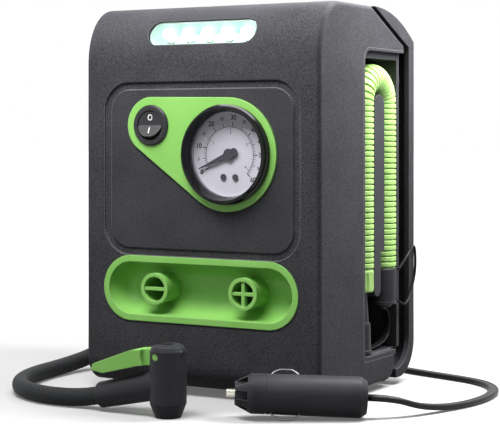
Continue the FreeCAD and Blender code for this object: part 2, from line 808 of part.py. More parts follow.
def pointer():
    """Needle with a round hub, a round tail and its spindle; drawn along +X, then turned."""
    t0 = lens_thick + 0.4
    needle = polygon([
        Vector(1.5, t0, -1.5), Vector(pointer_len, t0, -0.25),
        Vector(pointer_len, t0, 0.25), Vector(1.5, t0, 1.5)]).extrude(Vector(0, 0.6, 0))
    tail = rod(-3.6, t0, 0, 2.1, 0.6).fuse(box(-3.6, 0, t0, t0 + 0.6, -1.8, 1.8))
    hub = rod(0, t0, 0, hub_r, 0.6)
    spindle = rod(0, t0, 0, spindle_r, dial_t + dial_thick + 4.6 - t0)
    piece = needle.fuse(tail).fuse(hub).fuse(spindle)
    piece.rotate(Vector(0, 0, 0), Y_AXIS, -pointer_rest)
    piece.translate(gauge_at)
    return piece


put("gauge_pointer", pointer())


# Rocker switch: a round flange and barrel, a drum-shaped rocker on two trunnions
rocker_pivot_t = 0.5
barrel_len = 18.0
bore_r = rocker_r + rocker_gap
flange_front = trim_face - 1.6


def switch_barrel():
    flange = rod(switch_x, flange_front, switch_z, switch_flange_r, -flange_front + trim_face)
    barrel = rod(switch_x, flange_front, switch_z, switch_hole_r - 0.1, barrel_len)
    piece = flange.fuse(barrel)
    rim = [e for e in piece.Edges if e.Closed and abs(e.CenterOfMass.y - flange_front) < 1e-6]
    piece = piece.makeChamfer(0.9, rim)
    piece = piece.cut(rod(switch_x, flange_front - 1, switch_z, bore_r, 1 - flange_front + rocker_pivot_t + bore_r))
    return piece.cut(rod(switch_x - bore_r - 1.2, rocker_pivot_t, switch_z, trunnion_r + running,
                         2 * bore_r + 2.4, X_AXIS))


def rocker():
    """The top half lies flat, pressed in; the lower half stands out by the full tilt."""
    pivot = Vector(switch_x, rocker_pivot_t, switch_z)
    drum = rod(switch_x - rocker_r + 0.3, rocker_pivot_t, switch_z, rocker_r, 2 * rocker_r - 0.6, X_AXIS)
    for turned in (0, -rocker_tilt):
        mouth = rod(switch_x, -20, switch_z, rocker_r, 40)
        mouth.rotate(pivot, X_AXIS, turned)
        drum = drum.common(mouth)
    flat_t = flange_front + 0.5
    rise = math.tan(math.radians(rocker_tilt))
    front = polygon([
        Vector(switch_x - 12, flat_t, switch_z + 12), Vector(switch_x - 12, flat_t, switch_z),
        Vector(switch_x - 12, flat_t - 12 * rise, switch_z - 12), Vector(switch_x - 12, -20, switch_z - 12),
        Vector(switch_x - 12, -20, switch_z + 12)]).extrude(Vector(24, 0, 0))
    drum = drum.cut(front)
    axle = Part.makeCylinder(trunnion_r, 2 * bore_r + 1.6, pivot - Vector(bore_r + 0.8, 0, 0), X_AXIS)
    return drum.fuse(axle)


put("switch_barrel", switch_barrel())
put("rocker", rocker())
blade_t = flange_front + barrel_len
put("switch_terminals", Part.makeCompound([
    box(switch_x - 3.2, switch_x + 3.2, blade_t, blade_t + 8, switch_z + z - 0.4, switch_z + z + 0.4)
    for z in (-5.0, 0.0, 5.0)]))


# Work light: reflector tub, five lamps on their board and a clear lens
def led_reflector():
    tub = prism(stadium(led_w - 0.2, led_h - 0.2, 0, 0, 2.0), Vector(0, led_deep, 0))
    inner = Part.makeLoft([
        stadium(led_w - 2.4, led_h - 2.4, 0, 0, 1.9), stadium(led_w - 6.0, led_h - 6.0, 0, 0, 1.0 + led_deep)], True, True)
    tub = tub.cut(inner)
    for k in range(led_count):
        x = (k - (led_count - 1) / 2) * led_pitch
        tub = tub.cut(rod(x, led_deep, 0, 2.75, 4))
    return led_frame(tub)


put("led_reflector", led_reflector())
put("led_lamps", Part.makeCompound([
    led_frame(rod((k - (led_count - 1) / 2) * led_pitch, led_deep - 1.5, 0, 2.5, 3.6).fuse(
        Part.makeSphere(2.5, Vector((k - (led_count - 1) / 2) * led_pitch, led_deep - 1.5, 0))))
    for k in range(led_count)]))
put("led_board", led_frame(box(-led_w / 2 + 3, led_w / 2 - 3, led_deep + 2.1, led_deep + 3.7, -6.0, 6.0)))
put("led_lens", led_frame(prism(stadium(led_w - 0.4, led_h - 0.4, 0, 0, 0.8), Vector(0, 1.2, 0))))


# Port bowl: a green dish with a flush rim and sloped walls, and a barred tube through each hole
def port_bowl():
    lip = prism(stadium(bowl_w, bowl_h, 0, bowl_z, -bowl_proud), Vector(0, bowl_proud + 1.0, 0))
    bowl = lip.fuse(bowl_solid(0, 0, bowl_deep)).fuse(
        prism(stadium(bowl_w - 2 * bowl_rim, bowl_h - 2 * bowl_rim, 0, bowl_z, 0), Vector(0, 1.0, 0)))
    bowl = bowl.cut(bowl_solid(-bowl_wall, -3, bowl_deep - bowl_rim))
    for side in (-1, 1):
        bowl = bowl.cut(rod(side * port_x, 0, bowl_z, port_neck_r + running, bowl_deep + port_tail))
    return bowl.removeSplitter()


def port_tube(x, crossed):
    """One port: a bead at the mouth, a neck through the bowl's floor, and a bar or a cross."""
    bar_half = port_bar / 2
    reach = port_bore_r + 0.5
    tube = rod(x, -bowl_proud, bowl_z, port_neck_r, bowl_proud + bowl_deep + port_tail)
    tube = tube.fuse(rod(x, -bowl_proud, bowl_z, port_r, port_lip))
    tube = tube.cut(rod(x, -bowl_proud - 1, bowl_z, port_bore_r, bowl_deep + 10.0))
    tube = tube.fuse(box(x - reach, x + reach, 0, port_bar_t, bowl_z - bar_half, bowl_z + bar_half))
    if crossed:
        tube = tube.fuse(box(x - bar_half, x + bar_half, 0, port_bar_t, bowl_z - reach, bowl_z + reach))
    return tube.removeSplitter()


put("port_bowl", port_bowl())
put("port_tubes", Part.makeCompound([port_tube(-port_x, False), port_tube(port_x, True)]))


# Accessory hose: a ribbed U with its cuff, cone nozzle, end connector and two straps
duct_x = half - duct_r - duct_inset
duct_rear_t = duct_t + 2 * duct_bend_r


def duct_place(s):
    """Middle and heading of the hose, a distance s from the end of its front leg."""
    up = duct_bend_z - duct_front_end
    bend = math.pi * duct_bend_r
    if s < up:
        return Vector(duct_x, duct_t, duct_front_end + s), Z_AXIS
    if s < up + bend:
        a = (s - up) / duct_bend_r
        middle = Vector(duct_x, duct_t + duct_bend_r * (1 - math.cos(a)), duct_bend_z + duct_bend_r * math.sin(a))
        return middle, Vector(0, math.sin(a), math.cos(a))
    return Vector(duct_x, duct_rear_t, duct_bend_z - (s - up - bend)), -Z_AXIS


def duct():
    total = (duct_bend_z - duct_front_end) + math.pi * duct_bend_r + (duct_bend_z - duct_rear_end)
    plain = 3.0
    count = int((total - 2 * plain) / duct_pitch)
    margin = (total - count * duct_pitch) / 2
    marks = [(0.0, duct_r - duct_groove)]
    for k in range(count):
        s = margin + k * duct_pitch
        marks += [(s + duct_pitch * share, r) for share, r in (
            (0.10, duct_r - duct_groove), (0.24, duct_r), (0.76, duct_r), (0.90, duct_r - duct_groove))]
    marks.append((total, duct_r - duct_groove))
    rings = []
    for s, r in marks:
        middle, heading = duct_place(s)
        circle = Part.Circle(middle, heading, r)
        circle.XAxis = X_AXIS
        rings.append(Part.Wire(circle.toShape()))
    ribbed = Part.makeLoft(rings, True, True)
    path = [
        line(Vector(duct_x, duct_t, duct_front_end - 5), Vector(duct_x, duct_t, duct_bend_z)),
        arc(Vector(duct_x, duct_t, duct_bend_z), Vector(duct_x, duct_t + duct_bend_r, duct_bend_z + duct_bend_r),
            Vector(duct_x, duct_rear_t, duct_bend_z)),
        line(Vector(duct_x, duct_rear_t, duct_bend_z), Vector(duct_x, duct_rear_t, duct_rear_end - 5)),
    ]
    print(f"accessory hose: {count} ribs, length {total:.1f}")
    return ribbed.cut(swept(path, duct_r - duct_groove - duct_wall))


put("accessory_hose", duct())
cuff_low = 55.7
cuff_foot = Vector(duct_x, duct_t, 0)


def cuff():
    """Fluted sleeve between hose and nozzle."""
    piece = revolved([(5.2, cuff_low), (7.6, cuff_low), (7.9, cuff_low + 1), (7.9, duct_front_end - 1.6),
                      (7.2, duct_front_end), (5.2, duct_front_end)], cuff_foot, Z_AXIS)
    flutes = 12
    for k in range(flutes):
        a = 2 * math.pi * k / flutes
        piece = piece.cut(rod(duct_x + 8.5 * math.cos(a), duct_t + 8.5 * math.sin(a), cuff_low + 1.2, 0.95, 9.0, Z_AXIS))
    return piece


put("hose_cuff", cuff())
nozzle_low = tray_floor + 0.3
put("cone_nozzle", revolved([
    (3.2, nozzle_low), (6.8, nozzle_low), (6.8, nozzle_low + 1.8), (6.4, nozzle_low + 2.2), (6.2, 37.4),
    (5.6, 38.6), (5.2, 38.8), (4.1, cuff_low), (2.6, cuff_low), (2.8, 38.8)], cuff_foot, Z_AXIS))
connector_foot = Vector(duct_x, duct_rear_t, 0)
connector_low = 46.2
put("port_connector", revolved([
    (6.0, connector_low + 1.6), (8.0, connector_low + 1.6), (8.2, duct_rear_end - 0.9), (7.5, duct_rear_end),
    (5.2, duct_rear_end), (6.0, duct_rear_end - 6)], connector_foot, Z_AXIS))
put("connector_cap", revolved([
    (0.0, connector_low - 1.8), (5.0, connector_low - 1.8), (5.9, connector_low), (8.1, connector_low),
    (8.1, connector_low + 1.6), (5.9, connector_low + 1.6), (5.9, connector_low + 5), (0.0, connector_low + 5)],
    connector_foot, Z_AXIS))


def strap(points, w, thick, spread):
    """Thin moulded strap: a band that follows a smooth line, spread across its width."""
    curve = Part.BSplineCurve()
    curve.interpolate(points)
    path = Part.Wire(curve.toShape())
    heading = curve.tangent(curve.FirstParameter)[0]
    side = spread
    up = heading.cross(side).normalize()
    a = points[0]
    corners = [a + side * (w / 2) + up * (thick / 2), a - side * (w / 2) + up * (thick / 2),
               a - side * (w / 2) - up * (thick / 2), a + side * (w / 2) - up * (thick / 2)]
    return path.makePipeShell([Part.makePolygon(corners + corners[:1])], True, True)


tether_x = half + 1.2
cap_strap = strap([
    Vector(half - 1.2, duct_rear_t + 6.6, duct_rear_end - 1.6), Vector(half + 1.0, duct_rear_t + 14, duct_rear_end + 6),
    Vector(tether_x, depth - 4.0, duct_rear_end + 11), Vector(tether_x, depth - 0.9, duct_rear_end + 7),
    Vector(tether_x, depth - 1.2, duct_rear_end - 4), Vector(tether_x, depth - 7.0, duct_rear_end - 15),
    Vector(half + 0.8, duct_rear_t + 12, connector_low - 0.6), Vector(half - 1.2, duct_rear_t + 6.6, connector_low + 0.8)],
    1.6, 1.0, X_AXIS)
nozzle_strap = strap([
    Vector(duct_x, duct_rear_t - 2.0, connector_low - 2.4), Vector(duct_x, duct_rear_t + 4.2, connector_low - 4.4),
    Vector(duct_x, duct_rear_t + 7.0, connector_low - 12), Vector(duct_x, duct_rear_t + 4.0, connector_low - 19),
    Vector(duct_x, duct_rear_t - 6.0, nozzle_low + 2.4), Vector(duct_x, duct_t + 7.7, nozzle_low + 0.8)],
    4.0, 1.0, X_AXIS)
put("hose_straps", Part.makeCompound([cap_strap, nozzle_strap]))


# Tire hose: outlet gland in the left compartment, the hose on the floor, and the chuck
gland_face = -half + bay_depth - bay_wall
gland_len = 9.0
put("hose_gland", Part.makeCone(gland_r, hose_r + 0.9, gland_len, Vector(gland_face, outlet_t, outlet_z), -X_AXIS).fuse(
    rod(gland_face, outlet_t, outlet_z, gland_r - 1.5, bay_wall + 5, X_AXIS)))
hose_exit = gland_face - gland_len
handle_dir = Vector(-math.cos(math.radians(handle_tilt)), 0, -math.sin(math.radians(handle_tilt)))
handle_end = Vector(chuck_x, chuck_t, handle_root_z) + handle_dir * handle_len
before_handle = handle_end + handle_dir * 12.0
hose_points = [
    Vector(hose_exit, outlet_t, outlet_z),
    Vector(-75.0, outlet_t, outlet_z),
    Vector(-97.0, 80.0, 20.0),
    Vector(-111.0, 57.0, 7.8),
    Vector(-113.5, 30.0, hose_r),
    Vector(-111.0, 2.0, hose_r),
    Vector(-102.0, -25.0, hose_r),
    Vector(-84.0, -45.0, hose_r),
    Vector(-60.0, -54.5, hose_r),
    before_handle,
    handle_end,
]
put("tire_hose", swept(route_edges(hose_points, "tire hose"), hose_r, "tire hose"))
head_at = Vector(chuck_x, chuck_t, 0)


def chuck_body():
    head = revolved([
        (0, 0), (6.6, 0), (head_r, 7.2), (head_r, head_h - 3.4), (head_r - 1.1, head_h - 1.2),
        (head_r - 3.2, head_h - 0.2), (0, head_h)], head_at, Z_AXIS)
    root = Vector(chuck_x, chuck_t, handle_root_z)
    handle = Part.makeCone(handle_root_r, handle_r, handle_len, root, handle_dir)
    body = head.fuse(handle)
    body = body.cut(rod(chuck_x, chuck_t, -1, 5.4, 12.0, Z_AXIS))
    body = body.cut(rod(chuck_x, chuck_t, 5, 4.05, lever_z - 8, Z_AXIS))
    slot = box(chuck_x - head_r - 3, chuck_x + lever_x + 5.6, chuck_t - lever_w / 2 - slot_gap,
               chuck_t + lever_w / 2 + slot_gap, lever_z - 7.6, head_h + 2)
    keep = rod(chuck_x + lever_x, chuck_t - 20, lever_z, 5.6, 40)
    front = box(chuck_x - head_r - 3, chuck_x + lever_x, chuck_t - 20, chuck_t + 20, lever_z - 7.6, head_h + 2)
    upper = box(chuck_x - head_r - 3, chuck_x + lever_x + 5.6, chuck_t - 20, chuck_t + 20, lever_z, head_h + 2)
    body = body.cut(slot.common(keep.fuse(front).fuse(upper)))
    return body.cut(rod(chuck_x + lever_x, chuck_t - 20, lever_z, pin_r + running, 40))


def chuck_lever():
    """Thumb lever: a narrow cheek on the pivot and a broad, twice-bent arm."""
    x0 = chuck_x + lever_x
    side = [(0, 3.8), (-7.0, 3.2), (-17.0, 2.2), (-40.0, -6.2), (-41.6, -9.6), (-34.0, -10.8), (-12.0, -5.4), (0, -4.2)]
    arm = polygon([Vector(x0 + x, chuck_t - 6.6, lever_z + z) for x, z in side]).extrude(Vector(0, 13.2, 0))
    narrow = rod(x0, chuck_t - 20, lever_z, 10.8, 40)
    arm = arm.cut(narrow)
    cheek = polygon([Vector(x0 + x, chuck_t - lever_w / 2, lever_z + z) for x, z in side]).extrude(Vector(0, lever_w, 0))
    cheek = cheek.common(rod(x0, chuck_t - 20, lever_z, 12.5, 40)).fuse(
        rod(x0, chuck_t - lever_w / 2, lever_z, 4.2, lever_w))
    lever = arm.fuse(cheek)
    return lever.cut(rod(x0, chuck_t - 20, lever_z, pin_r, 40))


put("chuck_body", chuck_body())
put("chuck_lever", chuck_lever())
pin_half = math.sqrt(head_r ** 2 - lever_x ** 2) - 0.2
put("chuck_pin", rod(chuck_x + lever_x, chuck_t - pin_half, lever_z, pin_r, 2 * pin_half))
put("chuck_seal", rod(chuck_x, chuck_t, 1.2, 5.4, 9.0, Z_AXIS).cut(rod(chuck_x, chuck_t, 0, valve_r, 20, Z_AXIS)))

# Car plug, drawn along +X from its rear face, then laid down beside the body
plug_end = Vector(-math.cos(math.radians(plug_heading)), -math.sin(math.radians(plug_heading)), 0)
plug_dir = plug_end * math.cos(math.radians(plug_pitch)) + Z_AXIS * math.sin(math.radians(plug_pitch))
plug_rear = Vector(plug_x, plug_t, plug_z)
lay_down = Placement(plug_rear, Rotation(Z_AXIS, 180 + plug_heading).multiply(Rotation(Y_AXIS, -plug_pitch)))


def laid(shape):
    piece = shape.copy()
    piece.Placement = lay_down.multiply(piece.Placement)
    return piece


def plug_body():
    spigot = 2.4
    body = revolved([
        (0, 0), (plug_r - 2.0, 0), (plug_r, 3.2), (plug_front_r, plug_body_len), (8.0, plug_body_len),
        (8.0, plug_body_len + spigot), (0, plug_body_len + spigot)], Vector(0, 0, 0), X_AXIS)
    body = body.cut(rod(10, 0, 0, fuse_r + 0.6, 60, X_AXIS))
    for turn in (contact_turn, contact_turn + 180):
        slot = box(31.6, 50.0, -contact_wire - 0.35, contact_wire + 0.35, fuse_r + 1.2, plug_r + 2)
        slot.rotate(Vector(0, 0, 0), X_AXIS, turn)
        body = body.cut(slot)
    return body


def plug_cap():
    back = plug_body_len + 0.3
    cap = revolved([
        (0, back), (plug_front_r, back), (plug_front_r, back + collar_len),
        (nose_r, back + cap_len), (0, back + cap_len)], Vector(0, 0, 0), X_AXIS)
    cap = cap.cut(rod(back - 1, 0, 0, 8.3, 6.3, X_AXIS))
    cap = cap.cut(rod(back, 0, 0, 4.4, 8.0, X_AXIS))
    cap = cap.cut(rod(back, 0, 0, tip_r + running, 20, X_AXIS))
    notches = 6
    for k in range(notches):
        notch = box(back + collar_len + 2.0, back + cap_len + 1, -2.2, 2.2, nose_r - 0.2, nose_r + 6)
        notch.rotate(Vector(0, 0, 0), X_AXIS, 30 + 360 * k / notches)
        cap = cap.cut(notch)
    return cap


def contact_spring():
    """A wire bow: two legs in the body's slot and a shallow arch outside it."""
    leg = plug_front_r - 2.6
    peak = plug_front_r + contact_proud
    points = [Vector(33.6, 0, leg), Vector(33.9, 0, plug_front_r + 0.6), Vector(37.5, 0, peak),
              Vector(44.3, 0, peak), Vector(47.9, 0, plug_front_r + 0.6), Vector(48.2, 0, leg)]
    edges = []
    here = points[0]
    for corner, after in zip(points[1:-1], points[2:]):
        reach = 0.45 * min((corner - here).Length, (after - corner).Length)
        start = corner - (corner - here).normalize() * reach
        end = corner + (after - corner).normalize() * reach
        edges.append(line(here, start))
        edges.append(arc(start, arc_middle(start, corner, end), end))
        here = end
    edges.append(line(here, points[-1]))
    return swept(edges, contact_wire)


put("plug_body", laid(plug_body()))
put("plug_cap", laid(plug_cap()))
cap_front = plug_body_len + 0.3 + cap_len
pin_head = plug_body_len + 0.3 + 8.0 - 0.2
tip = rod(pin_head - 2.4, 0, 0, 4.0, 2.4, X_AXIS).fuse(
    rod(pin_head - 2.4, 0, 0, tip_r, cap_front + tip_len - pin_head + 2.4, X_AXIS))
tip = tip.makeFillet(0.7, [e for e in tip.Edges if e.Closed and abs(e.CenterOfMass.x - cap_front - tip_len) < 1e-6])
put("plug_tip", laid(tip))
put("plug_fuse", laid(rod(pin_head - 2.4 - fuse_len, 0, 0, fuse_r, fuse_len, X_AXIS)))
spring_len = pin_head - 2.4 - fuse_len - tip_travel - 10.4
put("plug_spring", laid(rod(10.0, 0, 0, fuse_r + 0.2, spring_len, X_AXIS).cut(rod(9.0, 0, 0, fuse_r - 0.8, 40, X_AXIS))))
for name, turn in (("contact_upper", contact_turn), ("contact_lower", contact_turn + 180)):
    bow = contact_spring()
    bow.rotate(Vector(0, 0, 0), X_AXIS, turn)
    put(name, laid(bow))

# Power cord: a strain relief in the rear shell, a lead to the coil, the coil and the free end
grommet = Part.makeCone(grommet_r, cord_r + 0.9, grommet_len, Vector(lead_x, depth, lead_z), Y_AXIS)
grommet = grommet.fuse(rod(lead_x, depth - 7.0, lead_z, grommet_r - 1.5, 7.0))
put("cord_grommet", grommet)
coil_edges = coil_route()
print(f"coil: length {sum(e.Length for e in coil_edges):.0f}, least gap {least_gap(coil_edges, 1.5):.2f}")
put("cord_coil", swept(coil_edges, cord_r, "coil"))
coil_start = coil_point(0)
coil_end = coil_point(coil_turns)
lead_end = Vector(lead_x, depth + grommet_len, lead_z)
lead_points = [
    lead_end,
    Vector(lead_x, lead_end.y + 14.0, lead_z),
    Vector(lead_x, coil_t - 28.0, coil_start.z + 1.5),
    coil_start - coil_heading(0) * 14.0,
    coil_start,
]
put("cord_lead", swept(route_edges(lead_points, "cord lead"), cord_r, "cord lead"))
cord_points = [
    coil_end,
    coil_end + coil_heading(coil_turns) * 26.0,
    Vector(20.0, 153.5, cord_r),
    Vector(45.0, 144.0, cord_r),
    Vector(70.0, 134.0, cord_r),
    Vector(92.0, 127.0, cord_r),
    Vector(112.0, 120.0, cord_r),
    Vector(126.0, 108.5, cord_r),
    Vector(134.0, 92.0, cord_r),
    Vector(137.2, 70.0, cord_r),
    Vector(135.0, 49.0, cord_r),
    Vector(129.5, 31.0, cord_r + 0.3),
    Vector(122.5, 14.5, cord_r + 2.1),
    plug_rear - plug_dir * 14.0,
    plug_rear,
]
put("power_cord", swept(route_edges(cord_points, "power cord"), cord_r, "power cord"))


# Compressor: motor, pinion, crank gear, rod, piston and finned cylinder on one bracket
gear_z = motor_z + module * (pinion_teeth + gear_teeth) / 2
barrel_r = piston_r + 3.0
fin_r = piston_r + 4.4
cyl_x = half - bay_depth - cylinder_gap - fin_r
rod_x = cyl_x - rod_w / 2
pin_end_x = rod_x - seat
crank_pin_len = 7.2
gear_x = pin_end_x - crank_pin_len - gear_w
plate_w = 3.0
plate_x = gear_x - 0.4 - plate_w
motor_x1 = plate_x
wrist_z = gear_z + crank_r + rod_len
cyl_low = wrist_z - 4.5 - 2 * crank_r
cyl_high = wrist_z + 7.0
axle_r = 2.5
shaft_r = 1.6

motor = rod(motor_x0, drive_t, motor_z, motor_r, motor_x1 - motor_x0, X_AXIS)
motor = motor.fuse(rod(motor_x0 - motor_boss, drive_t, motor_z, 6.0, motor_boss, X_AXIS))
motor = motor.cut(rod(motor_x1 - 12, drive_t, motor_z, shaft_r + running, 20, X_AXIS))
put("compressor_motor", motor)
pinion = gear(pinion_teeth, 0, gear_x, drive_t, motor_z, gear_w, math.pi / 2)
put("motor_pinion", pinion.fuse(rod(motor_x1 - 11.5, drive_t, motor_z, shaft_r, gear_x - motor_x1 + 11.5, X_AXIS)))


def drive_bracket():
    """Plate between motor and gear, with the cylinder's shelf and two feet to the housing."""
    plate = box(plate_x, plate_x + plate_w, drive_t - 21, drive_t + 21, motor_z - 20, cyl_high)
    plate = plate.cut(rod(plate_x - 1, drive_t, motor_z, shaft_r + 1.0, plate_w + 2, X_AXIS))
    plate = plate.cut(rod(plate_x - 1, drive_t, gear_z, axle_r + running, plate_w + 2, X_AXIS))
    shelf = box(plate_x, cyl_x + 14.5, drive_t - 14.5, drive_t + 14.5, cyl_low - 3.0, cyl_low)
    shelf = shelf.cut(rod(cyl_x, drive_t, cyl_low - 4, piston_r + 2.7, 6, Z_AXIS))
    gusset = box(plate_x, plate_x + plate_w, housing_back - wall - 4, housing_back - wall, motor_z - 20, cyl_high)
    return plate.fuse(shelf).fuse(gusset)


put("drive_bracket", drive_bracket())
crank_gear = gear(gear_teeth, 0, gear_x, drive_t, gear_z, gear_w, -math.pi / 2 + math.pi / gear_teeth)
crank_gear = crank_gear.fuse(rod(plate_x - 4, drive_t, gear_z, axle_r, gear_x - plate_x + 4, X_AXIS))
crank_gear = crank_gear.fuse(rod(gear_x, drive_t, gear_z + crank_r, 2.2, pin_end_x - gear_x, X_AXIS))
put("crank_gear", crank_gear)


def connecting_rod():
    big = rod(rod_x, drive_t, gear_z + crank_r, 5.0, rod_w, X_AXIS)
    small = rod(rod_x, drive_t, wrist_z, 4.0, rod_w, X_AXIS)
    web = box(rod_x, rod_x + rod_w, drive_t - 2.6, drive_t + 2.6, gear_z + crank_r, wrist_z)
    piece = big.fuse(small).fuse(web)
    piece = piece.cut(rod(rod_x - 1, drive_t, gear_z + crank_r, 2.3, rod_w + 2, X_AXIS))
    return piece.cut(rod(rod_x - 1, drive_t, wrist_z, 1.8 + running, rod_w + 2, X_AXIS))


put("connecting_rod", connecting_rod())
piston = rod(cyl_x, drive_t, wrist_z - 5.5, piston_r, 11.0, Z_AXIS)
piston = piston.cut(box(rod_x - 0.5, rod_x + rod_w + 0.5, drive_t - 20, drive_t + 20, wrist_z - 8, wrist_z + 4.4))
piston = piston.fuse(rod(rod_x - 3, drive_t, wrist_z, 1.8, rod_w + 6, X_AXIS))
put("piston", piston)


def cylinder():
    barrel = rod(cyl_x, drive_t, cyl_low, barrel_r, cyl_high - cyl_low, Z_AXIS)
    fin_pitch = 5.0
    for k in range(int((cyl_high - cyl_low) / fin_pitch)):
        barrel = barrel.fuse(rod(cyl_x, drive_t, cyl_low + k * fin_pitch, fin_r, 1.6, Z_AXIS))
    return barrel.cut(rod(cyl_x, drive_t, cyl_low - 1, piston_r + running, cyl_high - cyl_low + 2, Z_AXIS))


put("cylinder", cylinder())
head = rod(cyl_x, drive_t, cyl_high, fin_r, 4.0, Z_AXIS)
head = head.fuse(rod(cyl_x, drive_t, cyl_high, 4.0, 10.0, Z_AXIS))
put("cylinder_head", head)
stem_end = Vector(gauge_x, stem_root + stem_len, gauge_z)
top_port = Vector(cyl_x, drive_t, cyl_high + 10.0)
air_points = [
    top_port,
    top_port + Vector(0, 0, 8.0),
    top_port + Vector(0, -14.0, 12.0),
    Vector(gauge_x, stem_end.y + 14.0, cyl_high - 2.0),
    Vector(gauge_x, stem_end.y + 13.0, gauge_z + 8.0),
    Vector(gauge_x, stem_end.y + 8.0, gauge_z),
    stem_end,
]
put("gauge_tube", swept(route_edges(air_points, "gauge tube"), 2.2))

# Blower for large inflatables: a drum behind the two ports, its wheel and motor
blower_back = blower_t + blower_w
drum_wall = 1.8
spigot_front = bowl_deep + port_tail


def blower_housing():
    drum = rod(0, blower_t, bowl_z, blower_r, blower_w)
    drum = drum.fuse(box(-port_x - port_r, port_x + port_r, blower_t, blower_t + 10,
                         bowl_z - port_r - 1, bowl_z + port_r + 1))
    for side in (-1, 1):
        drum = drum.fuse(rod(side * port_x, spigot_front, bowl_z, port_r, 8.0))
    drum = drum.cut(rod(0, blower_t + drum_wall, bowl_z, blower_r - drum_wall, blower_w - 2 * drum_wall))
    for side in (-1, 1):
        drum = drum.cut(rod(side * port_x, spigot_front - 1, bowl_z, port_bore_r, 13.0))
    return drum.cut(rod(0, blower_back - 4, bowl_z, 3.0, 10))


put("blower_housing", blower_housing())


def impeller():
    hub = rod(0, blower_t + 12.5, bowl_z, 6.0, 8.0)
    plate = rod(0, blower_back - drum_wall - 2.6, bowl_z, impeller_r, 1.4)
    wheel = hub.fuse(plate)
    blades = 9
    for k in range(blades):
        blade = box(5.0, impeller_r - 0.4, blower_t + 12.5, blower_back - drum_wall - 1.4, -0.6, 0.6)
        blade.rotate(Vector(5, 0, 0), Y_AXIS, 24)
        blade.rotate(Vector(0, 0, 0), Y_AXIS, 360 * k / blades)
        blade.translate(Vector(0, 0, bowl_z))
        wheel = wheel.fuse(blade.common(rod(0, 0, bowl_z, impeller_r, 200)))
    return wheel.fuse(rod(0, blower_back - drum_wall - 1.4, bowl_z, 1.6, 10))


put("impeller", impeller())
blower_motor = rod(0, blower_back, bowl_z, 13.5, 26.0).cut(rod(0, blower_back - 1, bowl_z, 1.6 + running, 10.4))
put("blower_motor", blower_motor)
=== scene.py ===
"""Portable tire inflator: camera, studio, finishes, and the pieces that the solids keep plain.

Lengths are millimetres in the part's own frame and turn to metres where a mesh is made.
A place behind the front face is called t, as in the part's source: Y = t + FRONT_Y.
"""
import math

import bmesh
import bpy
import numpy as np
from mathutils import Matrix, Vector


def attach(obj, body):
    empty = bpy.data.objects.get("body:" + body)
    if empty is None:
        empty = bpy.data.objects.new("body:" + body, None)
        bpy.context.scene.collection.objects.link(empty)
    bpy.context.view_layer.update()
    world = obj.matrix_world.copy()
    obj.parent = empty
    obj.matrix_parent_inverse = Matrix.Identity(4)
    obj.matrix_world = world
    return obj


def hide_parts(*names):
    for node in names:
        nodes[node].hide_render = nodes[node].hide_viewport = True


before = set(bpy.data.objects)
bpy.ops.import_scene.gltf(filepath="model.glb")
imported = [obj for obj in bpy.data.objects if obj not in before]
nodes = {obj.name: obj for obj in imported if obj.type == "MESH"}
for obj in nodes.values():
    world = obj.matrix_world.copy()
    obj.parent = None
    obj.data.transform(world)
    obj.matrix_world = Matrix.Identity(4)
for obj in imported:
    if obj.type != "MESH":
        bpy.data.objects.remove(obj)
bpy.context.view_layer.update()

MM = 0.001
WHITE = (1, 1, 1, 1)

# Meshes: distance in metres under which points are one, and the turn from which an edge is sharp
WELD = 1e-7
SHARP_TURN = math.radians(35)

# Colour: size of the slow patches in plastic and in ink, weight of the fine specks against them,
# and the part of the noise's range in which the dark tone turns into the light one
PATCH_MM, INK_PATCH_MM = 28.0, 5.0
SPECK_SHARE = 0.8
TONE_RANGE = (0.35, 0.65)

# Painted edge highlight: how much paler sharp edges are painted, how well the rounded and the true
# normal agree where the painted highlight is full and where it ends, and the number of rays that
# round the light there
PAINTED_EDGE_HIGHLIGHT = 0.12
EDGE_AGREES = (0.8, 1.0)
EDGE_RAYS = 6

# Metal: how far fine wear takes the roughness below and above its middle value
WEAR_SPREAD = (0.8, 1.3)

# Body, as in the part's source
HALF = 74.0
DEPTH = 118.5
BEZEL_PROUD = 6.0
FRONT_Y = -(DEPTH - BEZEL_PROUD) / 2

# Gauge dial: face, and the scale's start and sweep in degrees, highest pressure and radius
GAUGE_X, GAUGE_Z = 18.0, 131.9
DIAL_T = 3.0
SCALE_START, SCALE_SWEEP, SCALE_TOP = 209.0, 252.0, 60
SCALE_R = 14.8
PSI_PER_BAR = 14.504

# Dial print: lift off the face, how far a letter's outline is let out for its height, the arc's
# half width, and the strokes from the longest kind down
PRINT_LIFT = 0.03
LETTER_WEIGHT = 0.03
ARC_HALF, ARC_POINTS = 0.15, 120
FINE_START = SCALE_R + 0.1
FINE_ENDS, FINE_WIDTHS = (17.3, 16.8, 16.2), (0.55, 0.4, 0.26)
FAINT_END = SCALE_R - 0.35
FAINT_STARTS, FAINT_WIDTHS = (13.2, 13.9), (0.4, 0.22)
FAINT_STROKES = 42

# Dial figures: name, values, pressure that a value stands for, height, radius of their ring, ink
FIGURES = (
    ("ten", range(0, 61, 10), 1.0, 3.7, 19.9, "ink"),
    ("five", range(5, 61, 10), 1.0, 2.3, 19.6, "ink"),
    ("bar", range(1, 5), PSI_PER_BAR, 2.1, 11.9, "faint_ink"),
)

# Rocker switch: pressed half's face, turn to the raised half, and the printed ring and bar
SWITCH_X, SWITCH_Z = -29.9, 147.6
ROCKER_FLAT_T = -1.8
ROCKER_TILT = 24.0
MARK_LIFT = 0.04
OFF_RADII, OFF_RISE, OFF_TALL = (1.0, 1.5), 4.3, 1.15
ON_TOP, ON_LOW, ON_HALF = 1.2, 4.3, 0.28

